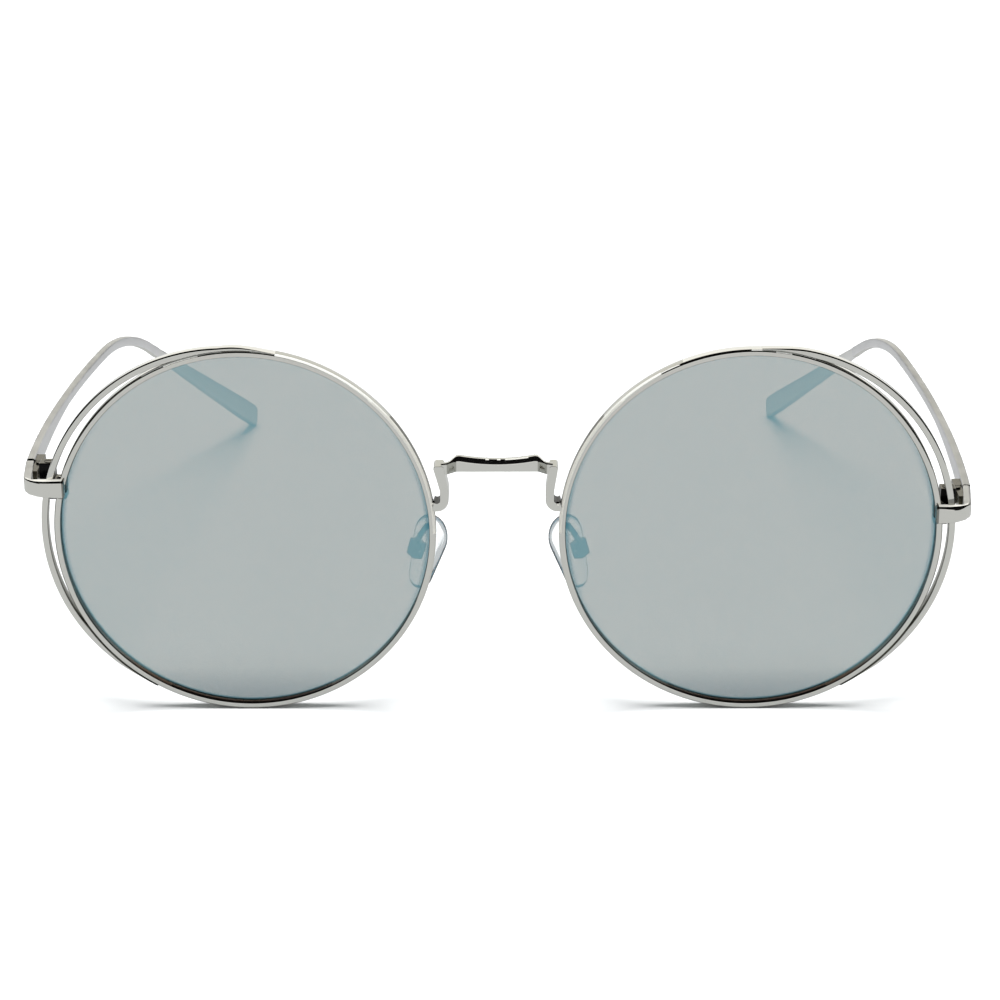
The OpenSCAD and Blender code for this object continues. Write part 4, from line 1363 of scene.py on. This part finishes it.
def build_floor():
    """A white floor, greyer where shiny pieces mirror it."""
    corners = [(-1, -1), (1, -1), (1, 1), (-1, 1)]
    verts = [(x * FLOOR_HALF, y * FLOOR_HALF, 0) for x, y in corners]
    floor = make_mesh("floor", verts, [(0, 1, 2, 3)])
    material, tree, out = new_material("floor")
    path = node(tree, "LightPath")
    tint = mix_colors(tree, path.outputs["Is Glossy Ray"], FLOOR_SEEN, FLOOR_MIRRORED)
    matt = node(tree, "BsdfDiffuse", Color=tint)
    feed(tree, out.inputs["Surface"], matt.outputs["BSDF"])
    paint(floor, material)


# What shiny pieces see, from the horizon behind (0) over the top (0.5) to the one in front (1)
BLACK = (0.004, 0.004, 0.004)
WHITE = (1.0, 1.0, 1.0)
SKY = (
    (0.00, (0.95, 0.95, 0.93)),
    (0.16, (1.05, 1.03, 0.95)),
    (0.20, (1.05, 1.02, 0.92)),
    (0.24, BLACK),
    (0.90, BLACK),
    (0.94, (0.85, 0.85, 0.83)),
    (1.00, (0.60, 0.60, 0.59)),
)

# How far aside the sky turns black, and the soft light that matt pieces get
SIDE_DARK = (0.45, 0.62)
SOFT_COLOR = (0.90, 1.0, 1.03)
SOFT_LIGHT = 0.22


def sky_colors(tree, share):
    ramp = node(tree, "ValToRGB", Fac=share)
    stops = ramp.color_ramp.elements
    while len(stops) < len(SKY):
        stops.new(0.5)
    for stop, (place, color) in zip(stops, SKY):
        stop.position = place
        stop.color = (*color, 1)
    return ramp.outputs["Color"]


def studio_colors(tree):
    """The sky by height, the same below the horizon as above it, and black at both sides."""
    coords = node(tree, "TexCoord")
    way = node(tree, "SeparateXYZ", Vector=coords.outputs["Generated"])
    up = calc(tree, "ABSOLUTE", way.outputs["Z"])
    turn = calc(tree, "ARCTAN2", up, way.outputs["Y"])
    sky = sky_colors(tree, calc(tree, "DIVIDE", turn, math.pi))
    aside = calc(tree, "ABSOLUTE", way.outputs["X"])
    fade = map_range(tree, aside, *SIDE_DARK, kind="SMOOTHSTEP")
    return mix_colors(tree, fade, sky, BLACK)


def build_world():
    """White where it is seen, the studio in shiny pieces, weak cool light on matt ones."""
    world = bpy.data.worlds.new("surroundings")
    scene.world = world
    world.use_nodes = True
    tree = world.node_tree
    tree.nodes.clear()
    out = tree.nodes.new("ShaderNodeOutputWorld")
    path = node(tree, "LightPath")
    matt = path.outputs["Is Diffuse Ray"]
    color = mix_colors(tree, path.outputs["Is Glossy Ray"], WHITE, studio_colors(tree))
    color = mix_colors(tree, matt, color, SOFT_COLOR)
    strength = map_range(tree, matt, 0.0, 1.0, 1.0, SOFT_LIGHT)
    background = node(tree, "Background", Color=color, Strength=strength)
    feed(tree, out.inputs["Surface"], background.outputs["Background"])


LAMP_ANGLE = math.radians(42)
LAMP_ENERGY = 4.0
LAMP_HEIGHT = 1.0


def build_lamp():
    """A wide soft light from straight above, which shiny pieces don't mirror."""
    lamp = bpy.data.lights.new("overhead", "SUN")
    lamp.angle = LAMP_ANGLE
    lamp.energy = LAMP_ENERGY
    obj = bpy.data.objects.new("overhead", lamp)
    obj.location = (0.0, 0.0, LAMP_HEIGHT)
    obj.visible_glossy = False
    scene.collection.objects.link(obj)


# The camera fitted to the photograph: distance in millimetres, focus and aim in its pixels
ELEVATION = math.radians(20.88)
YAW = math.radians(0.962)
ROLL = math.radians(-0.423)
CAMERA_DIST = 400
FOCUS = 2641.0
AIM_X = -2.92
AIM_Y = 34.01
PHOTO_WIDTH = 1000.0
SENSOR_WIDTH = 36.0
CLIP_START = 0.01
CLIP_END = 20


def camera_axes():
    """The camera's right, up and back directions, and the way back from the lenses to it."""
    level = math.cos(ELEVATION)
    back = Vector((math.sin(YAW) * level, -math.cos(YAW) * level, math.sin(ELEVATION)))
    right = Vector((math.cos(YAW), math.sin(YAW), 0))
    up = back.cross(right)
    forward = ((AIM_Y / FOCUS) * up - (AIM_X / FOCUS) * right - back).normalized()
    right = forward.cross(up).normalized()
    up = right.cross(forward)
    rolled_right = math.cos(ROLL) * right + math.sin(ROLL) * up
    rolled_up = math.cos(ROLL) * up - math.sin(ROLL) * right
    return (rolled_right, rolled_up, -forward), back


def build_camera():
    axes, back = camera_axes()
    data = bpy.data.cameras.new("camera")
    data.sensor_width = SENSOR_WIDTH
    data.lens = SENSOR_WIDTH * FOCUS / PHOTO_WIDTH
    data.clip_start = CLIP_START
    data.clip_end = CLIP_END
    obj = bpy.data.objects.new("camera", data)
    place = Matrix.Translation(at(0, 0, RIM_R) + CAMERA_DIST * MM * back)
    obj.matrix_world = place @ Matrix(axes).transposed().to_4x4()
    scene.collection.objects.link(obj)
    scene.camera = obj


build_floor()
build_world()
build_lamp()
build_camera()
scene.view_settings.view_transform = "Standard"
